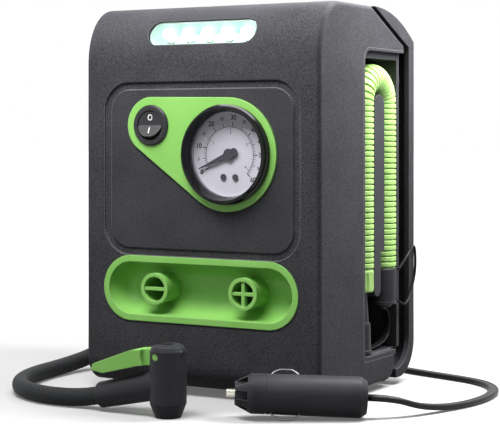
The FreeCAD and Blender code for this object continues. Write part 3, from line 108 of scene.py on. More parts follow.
# Work light: middle and tilt of its window, floor of the reflector, and the lamps
LED_T, LED_Z, LED_TILT = 3.3, 198.5, math.radians(23.0)
LED_FLOOR, LED_TIP, LED_PITCH = 10.0, 2.2, 12.5
LAMP_R, LAMP_LIFT, LAMP_COUNT = 2.8, 1.4, 5

# Accessory hose: a U on its head, with its front leg at DUCT_T and its rear leg at DUCT_REAR_T
DUCT_R = 8.0
DUCT_X = HALF - DUCT_R - 0.3
DUCT_T = 63.4
DUCT_BEND_R = 14.7
DUCT_BEND_Z = 159.4
DUCT_FRONT_END = 68.4
DUCT_REAR_END = 66.8
DUCT_REAR_T = DUCT_T + 2 * DUCT_BEND_R
DUCT_PITCH = 3.1
RIB_DEPTH = 1.3
GROOVE_POWER = 10
RINGS_PER_RIB = 24

# Straps of the accessory hose: where they are held, how far out the loop hangs, sections
CONNECTOR_LOW = 46.2
NOZZLE_LOW = 21.3
TETHER_X = HALF + 1.2
STRAP_THICK = 1.1
LOOP_W, BAND_W = 1.6, 4.0
SPAN_POINTS = 14

# Tire hose and chuck
HOSE_R = 4.7
HOSE_LEAD_IN = 12.0
OUTLET_T, OUTLET_Z = 90.0, 31.0
HOSE_EXIT_X = -54.6
CHUCK_X, CHUCK_T = 15.0, -52.6
HANDLE_TILT = math.radians(13.1)
HANDLE_ROOT_Z = 17.3
HANDLE_LEN = 41.7
STRANDS_ROUND, STRAND_PITCH = 12.0, 2.2
STOP_R, STOP_LEN, STOP_DOME = 1.5, 5.0, 0.8
STOP_FOOT = (CHUCK_X + 4.2, CHUCK_T - 1.4, 32.8)

# Car plug
PLUG_REAR = np.array([103.3, -5.9, 10.5])
PLUG_HEADING = math.radians(31.3)
PLUG_PITCH = math.radians(2.3)
PLUG_DIR = np.array([
    -math.cos(PLUG_HEADING) * math.cos(PLUG_PITCH),
    -math.sin(PLUG_HEADING) * math.cos(PLUG_PITCH),
    math.sin(PLUG_PITCH)])

# Power cord, the height of its middle on the floor, and its coil of flat layers
CORD_W, CORD_H = 5.8, 3.2
CORD_LOW = CORD_H / 2
CORE_ARC = 0.74
CORD_LEAD_IN, CORD_SEAT = 14.0, 0.05
LAYER_RISE = 3.4
LAYER_SHIFT = 0.25
COIL_X, COIL_T, COIL_R = -32.0, 200.0, 42.0
COIL_TURNS, COIL_LAYERS = 12.75, 4
COIL_PITCH = 6.4
TURN_POINTS = 16
GROMMET_LEN = 22.0
LEAD_X, LEAD_Z = COIL_X + COIL_R, 34.0

# Floor: colour to the eye and as bounced light, its own white near the object, where that grows
FLOOR_SIZE = 16.0
FLOOR_TONE, FLOOR_BOUNCE, FLOOR_NEAR = 0.47, 0.1, 0.12
FLOOR_FADE = (0.12, 0.6)

# The world's light on the object
WORLD_LEVEL = 0.11

# Soft boxes: name, place, width and height, watts, and the point that they face
SOFT_BOXES = (
    ("front_top", (-0.04, -0.22, 0.4), (0.32, 0.14), 2.45, (0, -0.05, 0.15)),
    ("side_top", (0.15, 0.05, 0.33), (0.1, 0.26), 2.6, (0.06, 0.02, 0.19)),
    ("front_fill", (-0.2, -1.0, 0.35), (0.5, 0.5), 1.0, (0, 0, 0.1)),
    ("back_top", (0.0, 0.5, 0.7), (0.6, 0.4), 5.0, (0, 0, 0.2)),
)

# Camera: frame, focal length and horizon in pixels, sensor in millimetres, place in metres
FRAME_W, FRAME_H = 500, 433
FOCAL = 1540
HORIZON = 130
SENSOR = 36.0
CAMERA_AT = (0.43974, -0.7619, 0.145)
CAMERA_TURN = math.radians(30)
CAMERA_REACH = 20.0


def placed(points):
    """Points (x, t, z) in millimetres as points in metres."""
    return (np.asarray(points, float) + [0, FRONT_Y, 0]) * MM


def linear(code):
    """An sRGB hex colour as linear red, green, blue and alpha."""
    channels = [int(code[i:i + 2], 16) / 255 for i in (1, 3, 5)]
    return [c / 12.92 if c <= 0.04045 else ((c + 0.055) / 1.055) ** 2.4 for c in channels] + [1.0]


def linked(name, data):
    """A new object in the scene that shows a mesh, curve, light or camera."""
    made = bpy.data.objects.new(name, data)
    bpy.context.scene.collection.objects.link(made)
    return made


# Meshes

def mesh_object(name, verts, faces, smooth=True):
    """A new object with points in metres and faces."""
    mesh = bpy.data.meshes.new(name)
    mesh.from_pydata(np.asarray(verts).tolist(), [], faces)
    mesh.update()
    if smooth:
        mesh.polygons.foreach_set("use_smooth", np.ones(len(mesh.polygons), bool))
    return linked(name, mesh)


def points_of(mesh):
    """A mesh's points as rows."""
    flat = np.empty(len(mesh.vertices) * 3)
    mesh.vertices.foreach_get("co", flat)
    return flat.reshape(-1, 3)


def mesh_of(curve):
    """The mesh that a curve or text gives."""
    holder = linked(curve.name, curve)
    mesh = bpy.data.meshes.new_from_object(holder)
    bpy.data.objects.remove(holder)
    return mesh


def surface(name, grid, wrap=True, caps=False, uv=None):
    """A grid of points, rows by columns, joined into quads.

    wrap closes each row into a ring, and caps closes the first and the last one.
    uv gives each point a place on the material's own map.
    """
    rows, cols = grid.shape[:2]
    i = np.arange(rows - 1)[:, None]
    j = np.arange(cols if wrap else cols - 1)[None, :]
    here, there = i * cols, (i + 1) * cols
    next_j = (j + 1) % cols
    quads = np.stack([here + j, here + next_j, there + next_j, there + j], -1)
    faces = quads.reshape(-1, 4).tolist()
    if caps:
        faces.append(list(range(cols))[::-1])
        faces.append(list(range((rows - 1) * cols, rows * cols)))
    made = mesh_object(name, grid.reshape(-1, 3), faces)
    if uv is not None:
        layer = made.data.uv_layers.new(name="length_and_round")
        corner = np.empty(len(made.data.loops), int)
        made.data.loops.foreach_get("vertex_index", corner)
        layer.data.foreach_set("uv", uv.reshape(-1, 2)[corner].ravel())
    clean(made)
    return made


def clean(made):
    """Joins doubled points and turns all faces outwards."""
    work = bmesh.new()
    work.from_mesh(made.data)
    bmesh.ops.remove_doubles(work, verts=work.verts, dist=WELD)
    bmesh.ops.recalc_face_normals(work, faces=work.faces)
    work.to_mesh(made.data)
    work.free()


def sharpen(made):
    """Edges that turn by the sharp angle or more stay sharp, the rest shade smoothly."""
    work = bmesh.new()
    work.from_mesh(made.data)
    for edge in work.edges:
        if len(edge.link_faces) == 2:
            edge.smooth = edge.calc_face_angle(0) < SHARP_TURN
    work.to_mesh(made.data)
    work.free()


def full_turn(steps):
    """Angles once round, without the doubled end."""
    return np.linspace(0, 2 * np.pi, steps, endpoint=False)


def lathe(name, profile, centre, axis, steps=32):
    """A profile of (radius, height) turned about an axis through centre, in millimetres."""
    side = np.cross(axis, [0, 0, 1.0])
    side /= np.linalg.norm(side)
    other = np.cross(axis, side)
    turn = full_turn(steps)[:, None]
    ring = np.cos(turn) * side + np.sin(turn) * other
    radius, height = np.asarray(profile, float).T[:, :, None, None]
    grid = radius * ring[None] + height * np.asarray(axis) + np.asarray(centre, float)
    made = surface(name, placed(grid))
    sharpen(made)
    return made


def domed(radius, base, rise, steps):
    """Profile of a round pin: its foot, its side up to base, and a dome on top."""
    angles = np.linspace(0, math.pi / 2, steps)
    dome = [(radius * math.cos(a), base + rise * math.sin(a)) for a in angles]
    return [(0.0, 0.0), (radius, 0.0)] + dome


def frames_along(path, up):
    """Unit tangents, sides and normals along a path; the sides stay square to up."""
    tangent = np.gradient(path, axis=0)
    tangent /= np.linalg.norm(tangent, axis=1)[:, None]
    side = np.cross(np.broadcast_to(up, path.shape), tangent)
    side /= np.linalg.norm(side, axis=1)[:, None]
    return tangent, side, np.cross(tangent, side)


def swept(name, path, section, up=(0, 0, 1.0)):
    """A closed section, in (side, up) millimetres, carried along a path in metres."""
    tangent, side, normal = frames_along(path, np.asarray(up, float))
    ring = np.concatenate([section, section[:1]]) * MM
    across, above = ring[None, :, :1], ring[None, :, 1:]
    grid = path[:, None] + across * side[:, None] + above * normal[:, None]
    steps = np.linalg.norm(np.diff(path, axis=0), axis=1)
    length = np.concatenate([[0], np.cumsum(steps)])
    around = np.linspace(0, 1, len(ring))
    uv = np.stack(np.broadcast_arrays(length[:, None] / MM, around[None, :]), -1)
    return surface(name, grid, wrap=False, caps=True, uv=uv)


def smooth_route(points, resolution):
    """Points along the smooth line that has the given ones, in metres, as control points."""
    curve = bpy.data.curves.new("route", "CURVE")
    curve.dimensions = "3D"
    curve.resolution_u = resolution
    spline = curve.splines.new("NURBS")
    spline.points.add(len(points) - 1)
    weighted = np.concatenate([np.asarray(points, float), np.ones((len(points), 1))], 1)
    spline.points.foreach_set("co", weighted.ravel())
    spline.order_u = 3
    spline.use_endpoint_u = True
    return points_of(mesh_of(curve))


def circle(radius, steps):
    """A round section."""
    turn = full_turn(steps)
    return np.stack([radius * np.cos(turn), radius * np.sin(turn)], -1)


def round_sided(width, thick, arc, steps):
    """A flat section with two round sides, each an arc of so many turns about its own middle."""
    r = thick / 2
    turn = np.linspace(-np.pi * arc, np.pi * arc, steps)
    right = np.stack([width / 2 - r + r * np.cos(turn), r * np.sin(turn)], -1)
    return np.concatenate([right, -right])


# Finishes

def fill(node, sockets):
    """Gives a node's sockets their values or links."""
    for key, value in sockets.items():
        if isinstance(value, bpy.types.NodeSocket):
            node.id_data.links.new(value, node.inputs[key])
        else:
            node.inputs[key].default_value = value
    return node


def add(tree, kind, sockets, **settings):
    """A new node with its settings, and its sockets filled."""
    made = tree.nodes.new("ShaderNode" + kind)
    for key, value in settings.items():
        setattr(made, key, value)
    return fill(made, sockets)


def material(name, sockets):
    """A new material with its shader's sockets filled; returns it, its node tree and the shader."""
    made = bpy.data.materials.new(name)
    made.use_nodes = True
    tree = made.node_tree
    return made, tree, fill(tree.nodes["Principled BSDF"], sockets)


def calc(tree, operation, *values):
    """Result of a Math node on numbers and links."""
    return add(tree, "Math", dict(enumerate(values)), operation=operation).outputs[0]


def mapped(tree, value, low, high, start=(0.0, 1.0), **settings):
    """A value whose range start becomes the range from low to high."""
    return add(tree, "MapRange", {
        "Value": value, "From Min": start[0], "From Max": start[1],
        "To Min": low, "To Max": high}, **settings).outputs["Result"]


def on_object(tree):
    """The place on the object, in metres."""
    return add(tree, "TexCoord", {}).outputs["Object"]


def noise(tree, where, size_mm, detail, roughness=0.5):
    """Even noise with features of about the given size."""
    return add(tree, "TexNoise", {
        "Vector": where, "Scale": 1000 / size_mm, "Detail": detail,
        "Roughness": roughness}).outputs["Fac"]


def ramp(tree, value, dark, light, low=0.0, high=1.0):
    """Colour from dark to light as the value goes from low to high."""
    made = add(tree, "ValToRGB", {"Fac": value})
    for stop, position, tone in zip(made.color_ramp.elements, (low, high), (dark, light)):
        stop.position = position
        stop.color = linear(tone)
    return made.outputs["Color"]


def tinted(tree, where, dark, light, size_mm, speck_mm=0.0):
    """Colour between two tones: slow patches, and fine specks where they are asked for."""
    tone = noise(tree, where, size_mm, detail=3.0)
    if speck_mm:
        speck = noise(tree, where, speck_mm, detail=2.0)
        tone = add(tree, "Mix", {0: SPECK_SHARE, 2: tone, 3: speck}).outputs[0]
    return ramp(tree, tone, dark, light, *TONE_RANGE)


def moulded_plastic(name, dark, light, roughness, grain_mm=0.0, relief_mm=0.0, gloss=0.5,
                    edge_mm=0.0, speck_mm=0.0, ior=1.5):
    """Injection-moulded ABS or polyethylene; a spark-eroded mould leaves a fine pebble grain.

    The grain's relief and its pits scatter and weaken the gloss. edge_mm rounds the light on
    sharp edges, as the small radius of a moulded edge does, and paints them a little paler,
    a painted highlight along each edge.
    """
    made, tree, shader = material(name, {
        "IOR": ior, "Specular IOR Level": gloss, "Roughness": roughness})
    where = on_object(tree)
    colour = tinted(tree, where, dark, light, PATCH_MM, speck_mm)
    normal = None
    if edge_mm:
        bevel = add(tree, "Bevel", {"Radius": edge_mm * MM}, samples=EDGE_RAYS)
        normal = bevel.outputs["Normal"]
        flat = add(tree, "NewGeometry", {}).outputs["Normal"]
        same = add(tree, "VectorMath", {0: normal, 1: flat}, operation="DOT_PRODUCT")
        # Painted highlight: where the rounded and the true normal part, the colour is mixed towards
        # white
        sheen_and_wear = mapped(tree, same.outputs["Value"], PAINTED_EDGE_HIGHLIGHT, 0.0, start=EDGE_AGREES)
        colour = add(tree, "Mix", {0: sheen_and_wear, 6: colour, 7: WHITE}, data_type="RGBA").outputs[2]
    if grain_mm:
        pebble = noise(tree, where, grain_mm, detail=2.0, roughness=0.6)
        relief = {"Height": pebble, "Strength": 1.0, "Distance": relief_mm * MM}
        if normal:
            relief["Normal"] = normal
        normal = add(tree, "Bump", relief).outputs["Normal"]
    fill(shader, {"Base Color": colour})
    if normal:
        fill(shader, {"Normal": normal})
    return made


def plated_metal(name, tone, roughness, scratch_mm=0.6):
    """Plated or machined metal: mirror-like under a film of fine wear that varies the gloss."""
    made, tree, shader = material(name, {"Metallic": 1.0, "Base Color": linear(tone)})
    sheen_and_wear = noise(tree, on_object(tree), scratch_mm, detail=4.0)
    low, high = (roughness * share for share in WEAR_SPREAD)
    fill(shader, {"Roughness": mapped(tree, sheen_and_wear, low, high)})
    return made


def soft_rubber(name, dark, light, roughness, grain_mm=0.5, relief_mm=0.02):
    """Moulded rubber or soft vinyl: dull, with a faint bloom that lightens it in patches."""
    return moulded_plastic(
        name, dark, light, roughness, grain_mm, relief_mm, gloss=0.15, ior=1.52)


def braided_rubber():
    """Hose cover of woven yarn under rubber: two sets of strands cross at 45 degrees.

    The strands are about 0.8 mm wide, drawn 1.1 mm wide so that they show.
    """
    made, tree, shader = material("braided rubber hose", {
        "Roughness": 0.62, "Specular IOR Level": 0.15})
    where = add(tree, "UVMap", {}, uv_map="length_and_round").outputs["UV"]
    parts = add(tree, "SeparateXYZ", {"Vector": where}).outputs
    around = calc(tree, "MULTIPLY", parts["Y"], STRANDS_ROUND)
    along = calc(tree, "MULTIPLY", parts["X"], 1 / STRAND_PITCH)
    strands = []
    for way in (1.0, -1.0):
        lean = calc(tree, "MULTIPLY_ADD", around, way, along)
        turn = calc(tree, "MULTIPLY", lean, 2 * math.pi)
        strands.append(calc(tree, "SINE", turn))
    weave = calc(tree, "MAXIMUM", *strands)
    bump = add(tree, "Bump", {"Height": weave, "Strength": 0.7, "Distance": 0.18 * MM})
    fill(shader, {
        "Base Color": ramp(tree, weave, "#141516", "#2b2d2f"),
        "Normal": bump.outputs["Normal"]})
    return made


def clear_glass(name, tone, alpha):
    """Thin clear window: mostly see-through, with a trace of a flat pane's gloss."""
    return material(name, {
        "Base Color": linear(tone), "Roughness": 0.03, "IOR": 1.45, "Alpha": alpha})[0]


def glowing(name, tone, strength):
    """Lit lamp: its own light is far brighter than what falls on it."""
    return material(name, {
        "Base Color": linear(tone), "Emission Color": linear(tone),
        "Emission Strength": strength})[0]


def printed(name, tone):
    """Screen-printed ink: even colour, slightly duller than what it lies on."""
    made, tree, shader = material(name, {"Roughness": 0.55})
    fill(shader, {"Base Color": tinted(tree, on_object(tree), tone, tone, INK_PATCH_MM)})
    return made


finish = {
    "housing": moulded_plastic(
        "spark textured charcoal ABS", "#28282a", "#48484c", roughness=0.55,
        grain_mm=0.6, relief_mm=0.035, gloss=0.04, edge_mm=0.8, speck_mm=0.6),
    "tray": moulded_plastic(
        "textured charcoal ABS", "#333336", "#454549", roughness=0.5,
        grain_mm=0.6, relief_mm=0.02, gloss=0.04, edge_mm=0.6, speck_mm=0.5),
    "fitting": moulded_plastic(
        "satin black nylon", "#2b2b2e", "#353539", roughness=0.45,
        grain_mm=0.45, relief_mm=0.015, gloss=0.1, edge_mm=0.4),
    "green": moulded_plastic(
        "satin green ABS", "#7cb757", "#84bd5f", roughness=0.42, gloss=0.3, edge_mm=0.6),
    "lime": moulded_plastic(
        "blow-moulded lime polyethylene", "#a2cb75", "#acd580", roughness=0.42, gloss=0.3),
    "bezel": moulded_plastic(
        "polished black ABS", "#101012", "#141417", roughness=0.16, gloss=0.22),
    "dial": moulded_plastic(
        "satin silver printed dial", "#cac8d4", "#d2d0dc", roughness=0.5, gloss=0.3),
    "pointer": moulded_plastic(
        "dark grey lacquered pointer", "#3c3a42", "#46444c", roughness=0.4, gloss=0.3),
    "switch": moulded_plastic(
        "black switch nylon", "#1c1c1f", "#232326", roughness=0.34, gloss=0.35),
    "rubber": soft_rubber("moulded black rubber", "#151516", "#1c1c1d", roughness=0.68),
    "vinyl": soft_rubber(
        "extruded black vinyl", "#161617", "#1b1b1c", roughness=0.40,
        grain_mm=0.9, relief_mm=0.006),
    "hose": braided_rubber(),
    "brass": plated_metal("machined brass", "#c8a45a", roughness=0.30),
    "nickel": plated_metal("nickel plated brass", "#c9c5bb", roughness=0.16),
    "spring": plated_metal("spring steel", "#7c7c80", roughness=0.30),
    "zinc": plated_metal("zinc plated steel", "#a9acae", roughness=0.34),
    "alloy": plated_metal("die-cast aluminium", "#b4b6b8", roughness=0.48, scratch_mm=1.5),
    "nylon": moulded_plastic("natural nylon", "#e4e3dc", "#ecebe5", roughness=0.4),
    "board": moulded_plastic("green solder mask", "#155c34", "#1a6a3e", roughness=0.3),
    "reflector": moulded_plastic("bright reflector ABS", "#a8c8be", "#b4d4ca", roughness=0.25),
    "lamp": glowing("lit lamp", "#f4fffb", strength=2.2),
    "glass": clear_glass("clear polycarbonate window", "#101012", alpha=0.06),
    "ink": printed("black dial ink", "#1a1a1d"),
    "faint_ink": printed("grey dial ink", "#55545c"),
    "mark": printed("white switch ink", "#dcdddc"),
}


def paint(made, key):
    """Gives an object one finish."""
    made.data.materials.clear()
    made.data.materials.append(finish[key])


def dress(key, *names):
    """Gives solids of the frame their finish."""
    for name in names:
        paint(nodes[name], key)


def piece(made, key, body, slot, *stands_for):
    """Paints a new piece, ties it to its body and hides the solids it stands for; slot is not used.
    """
    paint(made, key)
    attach(made, body)
    if stands_for:
        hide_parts(*stands_for)


# Cords

def tire_hose():
    """Braided hose: out of the left compartment, down to the floor and round to the chuck."""
    handle_dir = np.array([-math.cos(HANDLE_TILT), 0, -math.sin(HANDLE_TILT)])
    handle_end = np.array([CHUCK_X, CHUCK_T, HANDLE_ROOT_Z]) + handle_dir * HANDLE_LEN
    points = [
        (HOSE_EXIT_X, OUTLET_T, OUTLET_Z),
        (-75.0, OUTLET_T, OUTLET_Z),
        (-97.0, 80.0, 20.0),
        (-111.0, 57.0, 7.8),
        (-113.5, 30.0, HOSE_R),
        (-111.0, 2.0, HOSE_R),
        (-102.0, -25.0, HOSE_R),
        (-84.0, -45.0, HOSE_R),
        (-60.0, -54.5, HOSE_R),
        handle_end + handle_dir * HOSE_LEAD_IN,
        handle_end,
    ]
    path = smooth_route(placed(points), resolution=10)
    made = swept("tire_hose_cover", path, circle(HOSE_R, steps=32))
    piece(made, "hose", "housing", "black_rubber", "tire_hose")


def coil_point(turn):
    """Middle of the cord after so many turns: each layer winds in or out at a steady rate.

    The cord lies flat, so a layer is little more than the cord's thickness high. It steps down
    to the next layer over a part of a turn, LAYER_SHIFT to each side of the layer's end.
    """
    per_layer = COIL_TURNS / COIL_LAYERS
    nearest = min(max(round(turn / per_layer), 1), COIL_LAYERS - 1)
    away = turn - nearest * per_layer
    spread = abs(away)
    if spread <= LAYER_SHIFT:
        spread = (away * away / LAYER_SHIFT + LAYER_SHIFT) / 2
    if nearest % 2:
        radius = COIL_R - COIL_PITCH * per_layer + COIL_PITCH * spread
    else:
        radius = COIL_R - COIL_PITCH * spread
    share = min(max((away + LAYER_SHIFT) / (2 * LAYER_SHIFT), 0.0), 1.0)
    sunk = nearest - 1 + share * share * (3 - 2 * share)
    angle = 2 * math.pi * turn
    height = CORD_LOW + LAYER_RISE * (COIL_LAYERS - 1 - sunk)
    return (COIL_X + radius * math.cos(angle), COIL_T + radius * math.sin(angle), height)


def power_cord():
    """Flat twin lead: strain relief, wound coil behind the body, free end round to the plug."""
    top = coil_point(0)[2]
    lead = [
        (LEAD_X, DEPTH + GROMMET_LEN, LEAD_Z),
        (LEAD_X, DEPTH + GROMMET_LEN + 14.0, LEAD_Z),
        (LEAD_X, COIL_T - 28.0, top + 3.5),
        (LEAD_X, COIL_T - 14.0, top),
    ]
    coil = [coil_point(k / TURN_POINTS) for k in range(int(COIL_TURNS * TURN_POINTS) + 1)]
    free = [
        (-6.0, 158.0, CORD_LOW), (20.0, 153.5, CORD_LOW), (45.0, 144.0, CORD_LOW),
        (70.0, 134.0, CORD_LOW), (92.0, 127.0, CORD_LOW), (112.0, 120.0, CORD_LOW),
        (126.0, 108.5, CORD_LOW), (134.0, 92.0, CORD_LOW), (137.2, 70.0, CORD_LOW),
        (135.0, 49.0, CORD_LOW), (129.5, 31.0, 2.2), (122.5, 14.5, 4.6),
        PLUG_REAR - PLUG_DIR * CORD_LEAD_IN, PLUG_REAR - PLUG_DIR * CORD_SEAT,
    ]
    path = smooth_route(placed(lead + coil + free), resolution=5)
    section = round_sided(CORD_W, CORD_H, CORE_ARC, steps=13)
    made = swept("twin_power_cord", path, section)
    piece(made, "vinyl", "housing", "black_pvc", "power_cord", "cord_coil", "cord_lead")


# Accessory hose

def duct_path(s):
    """The U-shaped hose at distance s, up, half a turn and down: its middle, and outwards."""
    up = DUCT_BEND_Z - DUCT_FRONT_END
    bend = math.pi * DUCT_BEND_R
    turn = np.clip((s - up) / DUCT_BEND_R, 0, math.pi)
    t = DUCT_T + DUCT_BEND_R * (1 - np.cos(turn))
    crown = DUCT_BEND_Z + DUCT_BEND_R * np.sin(turn)
    z = crown - np.clip(up - s, 0, None) - np.clip(s - up - bend, 0, None)
    middle = np.stack([np.full_like(s, DUCT_X), t, z], -1)
    outward = np.stack([np.zeros_like(s), -np.cos(turn), np.sin(turn)], -1)
    return middle, outward


def accessory_hose():
    """Ribs: flat crests, and once per pitch a narrow groove, shaped by a cosine to a power."""
    straight = (DUCT_BEND_Z - DUCT_FRONT_END) + (DUCT_BEND_Z - DUCT_REAR_END)
    total = straight + math.pi * DUCT_BEND_R
    s = np.linspace(0, total, int(total / DUCT_PITCH * RINGS_PER_RIB))
    groove = (0.5 + 0.5 * np.cos(2 * np.pi * s / DUCT_PITCH)) ** GROOVE_POWER
    radius = DUCT_R - RIB_DEPTH * groove
    middle, outward = duct_path(s)
    turn = full_turn(steps=40)[None, :, None]
    ring = np.cos(turn) * np.array([1.0, 0, 0]) + np.sin(turn) * outward[:, None]
    grid = middle[:, None] + radius[:, None, None] * ring
    made = surface("ribbed_hose", placed(grid), caps=True)
    piece(made, "lime", "hose_set", "green_hose_pe", "accessory_hose")


def through(points):
    """A smooth line through all points: cubic spans whose end slopes join the neighbours."""
    p = np.asarray(points, float)
    p = np.concatenate([2 * p[:1] - p[1:2], p, 2 * p[-1:] - p[-2:-1]])
    u = np.linspace(0, 1, SPAN_POINTS, endpoint=False)[:, None]
    a, b, c, d = (p[k:len(p) - 3 + k, None] for k in range(4))
    square = (2 * a - 5 * b + 4 * c - d) * u ** 2
    cube = (3 * b - a - 3 * c + d) * u ** 3
    spans = 0.5 * (2 * b + (c - a) * u + square + cube)
    return np.concatenate([spans.reshape(-1, 3), p[-2:-1]])


def straps():
    """Two moulded straps: a loop from the connector to its cap, and a broad band to the nozzle."""
    loop = [
        (HALF - 1.2, DUCT_REAR_T + 6.6, DUCT_REAR_END - 1.6),
        (HALF + 1.0, DUCT_REAR_T + 14, DUCT_REAR_END + 6),
        (TETHER_X, DEPTH - 4.0, DUCT_REAR_END + 11),
        (TETHER_X, DEPTH - 0.9, DUCT_REAR_END + 7),
        (TETHER_X, DEPTH - 1.2, DUCT_REAR_END - 4),
        (TETHER_X, DEPTH - 7.0, DUCT_REAR_END - 15),
        (HALF + 0.8, DUCT_REAR_T + 12, CONNECTOR_LOW - 0.6),
        (HALF - 1.2, DUCT_REAR_T + 6.6, CONNECTOR_LOW + 0.8),
    ]
    band = [
        (DUCT_X, DUCT_REAR_T - 2.0, CONNECTOR_LOW - 2.4),
        (DUCT_X, DUCT_REAR_T + 4.2, CONNECTOR_LOW - 4.4),
        (DUCT_X, DUCT_REAR_T + 7.0, CONNECTOR_LOW - 12),
        (DUCT_X, DUCT_REAR_T + 4.0, CONNECTOR_LOW - 19),
        (DUCT_X, DUCT_REAR_T - 6.0, NOZZLE_LOW + 2.4),
        (DUCT_X, DUCT_T + 7.7, NOZZLE_LOW + 0.8),
    ]
    for name, route, width in (("cap_loop", loop, LOOP_W), ("nozzle_band", band, BAND_W)):
        section = round_sided(width, STRAP_THICK, arc=0.5, steps=7)[:, ::-1]
        made = swept(name, placed(through(route)), section, up=(1.0, 0, 0))
        piece(made, "vinyl", "hose_set", "black_pvc", "hose_straps")


tire_hose()
power_cord()
accessory_hose()
straps()

# Finishes of the solids
dress("housing", "front_housing", "rear_shell")
dress("tray", "tray_right", "tray_left", "core_frame")
dress("green", "trim_plate", "port_bowl", "port_tubes", "chuck_lever", "chuck_pin")
dress("lime", "hose_cuff")
dress("bezel", "gauge_bezel")
dress("dial", "gauge_dial")
dress("glass", "gauge_lens", "led_lens")
dress("pointer", "gauge_pointer", "dial_screws")
dress("switch", "switch_barrel", "rocker")
dress("fitting", "cone_nozzle", "port_connector", "connector_cap", "chuck_body", "plug_body",
      "plug_cap", "blower_housing")
dress("rubber", "feet", "chuck_seal", "hose_gland", "gauge_tube")
dress("vinyl", "cord_grommet")
dress("brass", "gauge_movement", "bourdon_tube")
dress("nickel", "plug_tip", "plug_fuse")
dress("spring", "contact_upper", "contact_lower", "plug_spring")
dress("zinc", "housing_screws", "gauge_case", "switch_terminals", "compressor_motor",
      "blower_motor", "motor_pinion", "drive_bracket")
dress("alloy", "cylinder", "cylinder_head", "piston")
dress("nylon", "crank_gear", "connecting_rod", "impeller")
dress("board", "led_board")
dress("reflector", "led_reflector")


# Gauge dial print

def dial_point(angle, radius):
    """A printed point, at an angle from +X towards +Z; arrays give arrays."""
    x, z = GAUGE_X + radius * np.cos(angle), GAUGE_Z + radius * np.sin(angle)
    return np.stack([x, np.full_like(x, DIAL_T - PRINT_LIFT), z], -1)


def dial_angle(value):
    """Where a pressure lies on the scale, in radians; it runs clockwise from the lower left."""
    return np.radians(SCALE_START - SCALE_SWEEP * np.asarray(value, float) / SCALE_TOP)


def strokes(name, values, inner, outer, width):
    """Radial strokes: each value gives a strip of even width between its two radii."""
    angle = dial_angle(values)
    inner, outer, width = (np.broadcast_to(v, angle.shape) for v in (inner, outer, width))
    corners = [(inner, -1), (inner, 1), (outer, 1), (outer, -1)]
    verts = np.stack([
        dial_point(angle + way * width / 2 / radius, radius) for radius, way in corners], 1)
    faces = np.arange(len(angle) * 4).reshape(-1, 4).tolist()
    return mesh_object(name, placed(verts).reshape(-1, 3), faces, smooth=False)


def ranked(values, tens, fives, rest):
    """A number for each value, by its kind."""
    return np.where(values % 10 == 0, tens, np.where(values % 5 == 0, fives, rest))


def dial_scale():
    """An arc with a fine outer scale and a faint inner one in tenths of a bar."""
    values = np.arange(SCALE_TOP + 1)
    fine = strokes("scale_ticks", values, FINE_START,
                   ranked(values, *FINE_ENDS), ranked(values, *FINE_WIDTHS))
    tenths = np.arange(FAINT_STROKES)
    whole = tenths % 10 == 0
    faint = strokes("inner_ticks", tenths * (PSI_PER_BAR / 10),
                    np.where(whole, *FAINT_STARTS), FAINT_END, np.where(whole, *FAINT_WIDTHS))
    sweep = dial_angle(np.linspace(0, SCALE_TOP, ARC_POINTS))
    edges = [placed(dial_point(sweep, SCALE_R + way * ARC_HALF)) for way in (-1, 1)]
    arc = surface("scale_arc", np.stack(edges, 1), wrap=False)
    for made, key in ((fine, "ink"), (faint, "faint_ink"), (arc, "ink")):
        piece(made, key, "housing", "pointer_black")


def text_mesh(name, words, size_mm, at):
    """Words as flat letters on a front-facing plane, in the middle of their place."""
    curve = bpy.data.curves.new(name, "FONT")
    curve.body = words
    curve.size = size_mm * MM
    curve.align_x = "CENTER"
    curve.align_y = "CENTER"
    curve.resolution_u = 4
    curve.offset = LETTER_WEIGHT * size_mm * MM
    mesh = mesh_of(curve)
    flat = points_of(mesh)
    upright = np.stack([flat[:, 0], np.zeros(len(flat)), flat[:, 1]], -1)
    mesh.vertices.foreach_set("co", (upright + placed(at)).ravel())
    mesh.update()
    return linked(name, mesh)


def dial_figures():
    """Tens in large figures, fives in small ones between them, and whole bars inside the arc."""
    for row, values, unit, size_mm, radius, key in FIGURES:
        for value in values:
            at = dial_point(dial_angle(value * unit), radius)
            made = text_mesh(f"{row}_{value}", str(value), size_mm, at)
            piece(made, key, "housing", "pointer_black")


def switch_marks():
    """A ring on the pressed half and a bar on the raised half."""
    face = ROCKER_FLAT_T - MARK_LIFT
    turn = full_turn(steps=40)
    rings = [np.stack([
        SWITCH_X + r * np.cos(turn),
        np.full_like(turn, face),
        SWITCH_Z + OFF_RISE + OFF_TALL * r * np.sin(turn)], -1) for r in OFF_RADII]
    ring = surface("off_mark", placed(np.stack(rings)))
    lean = math.tan(math.radians(ROCKER_TILT))
    corners = [(ON_TOP, -ON_HALF), (ON_TOP, ON_HALF), (ON_LOW, ON_HALF), (ON_LOW, -ON_HALF)]
    verts = [(SWITCH_X + x, face - drop * lean, SWITCH_Z - drop) for drop, x in corners]
    bar = mesh_object("on_mark", placed(verts), [[0, 1, 2, 3]], smooth=False)
    for made in (ring, bar):
        piece(made, "mark", "rocker", "dial_silver")


def chuck_stop():
    """Small polished pin in the right side of the chuck's head, its end domed."""
    profile = domed(STOP_R, STOP_LEN, STOP_DOME, steps=7)
    made = lathe("chuck_stop", profile, STOP_FOOT, (1.0, 0, 0))
    piece(made, "bezel", "housing", "black_abs")


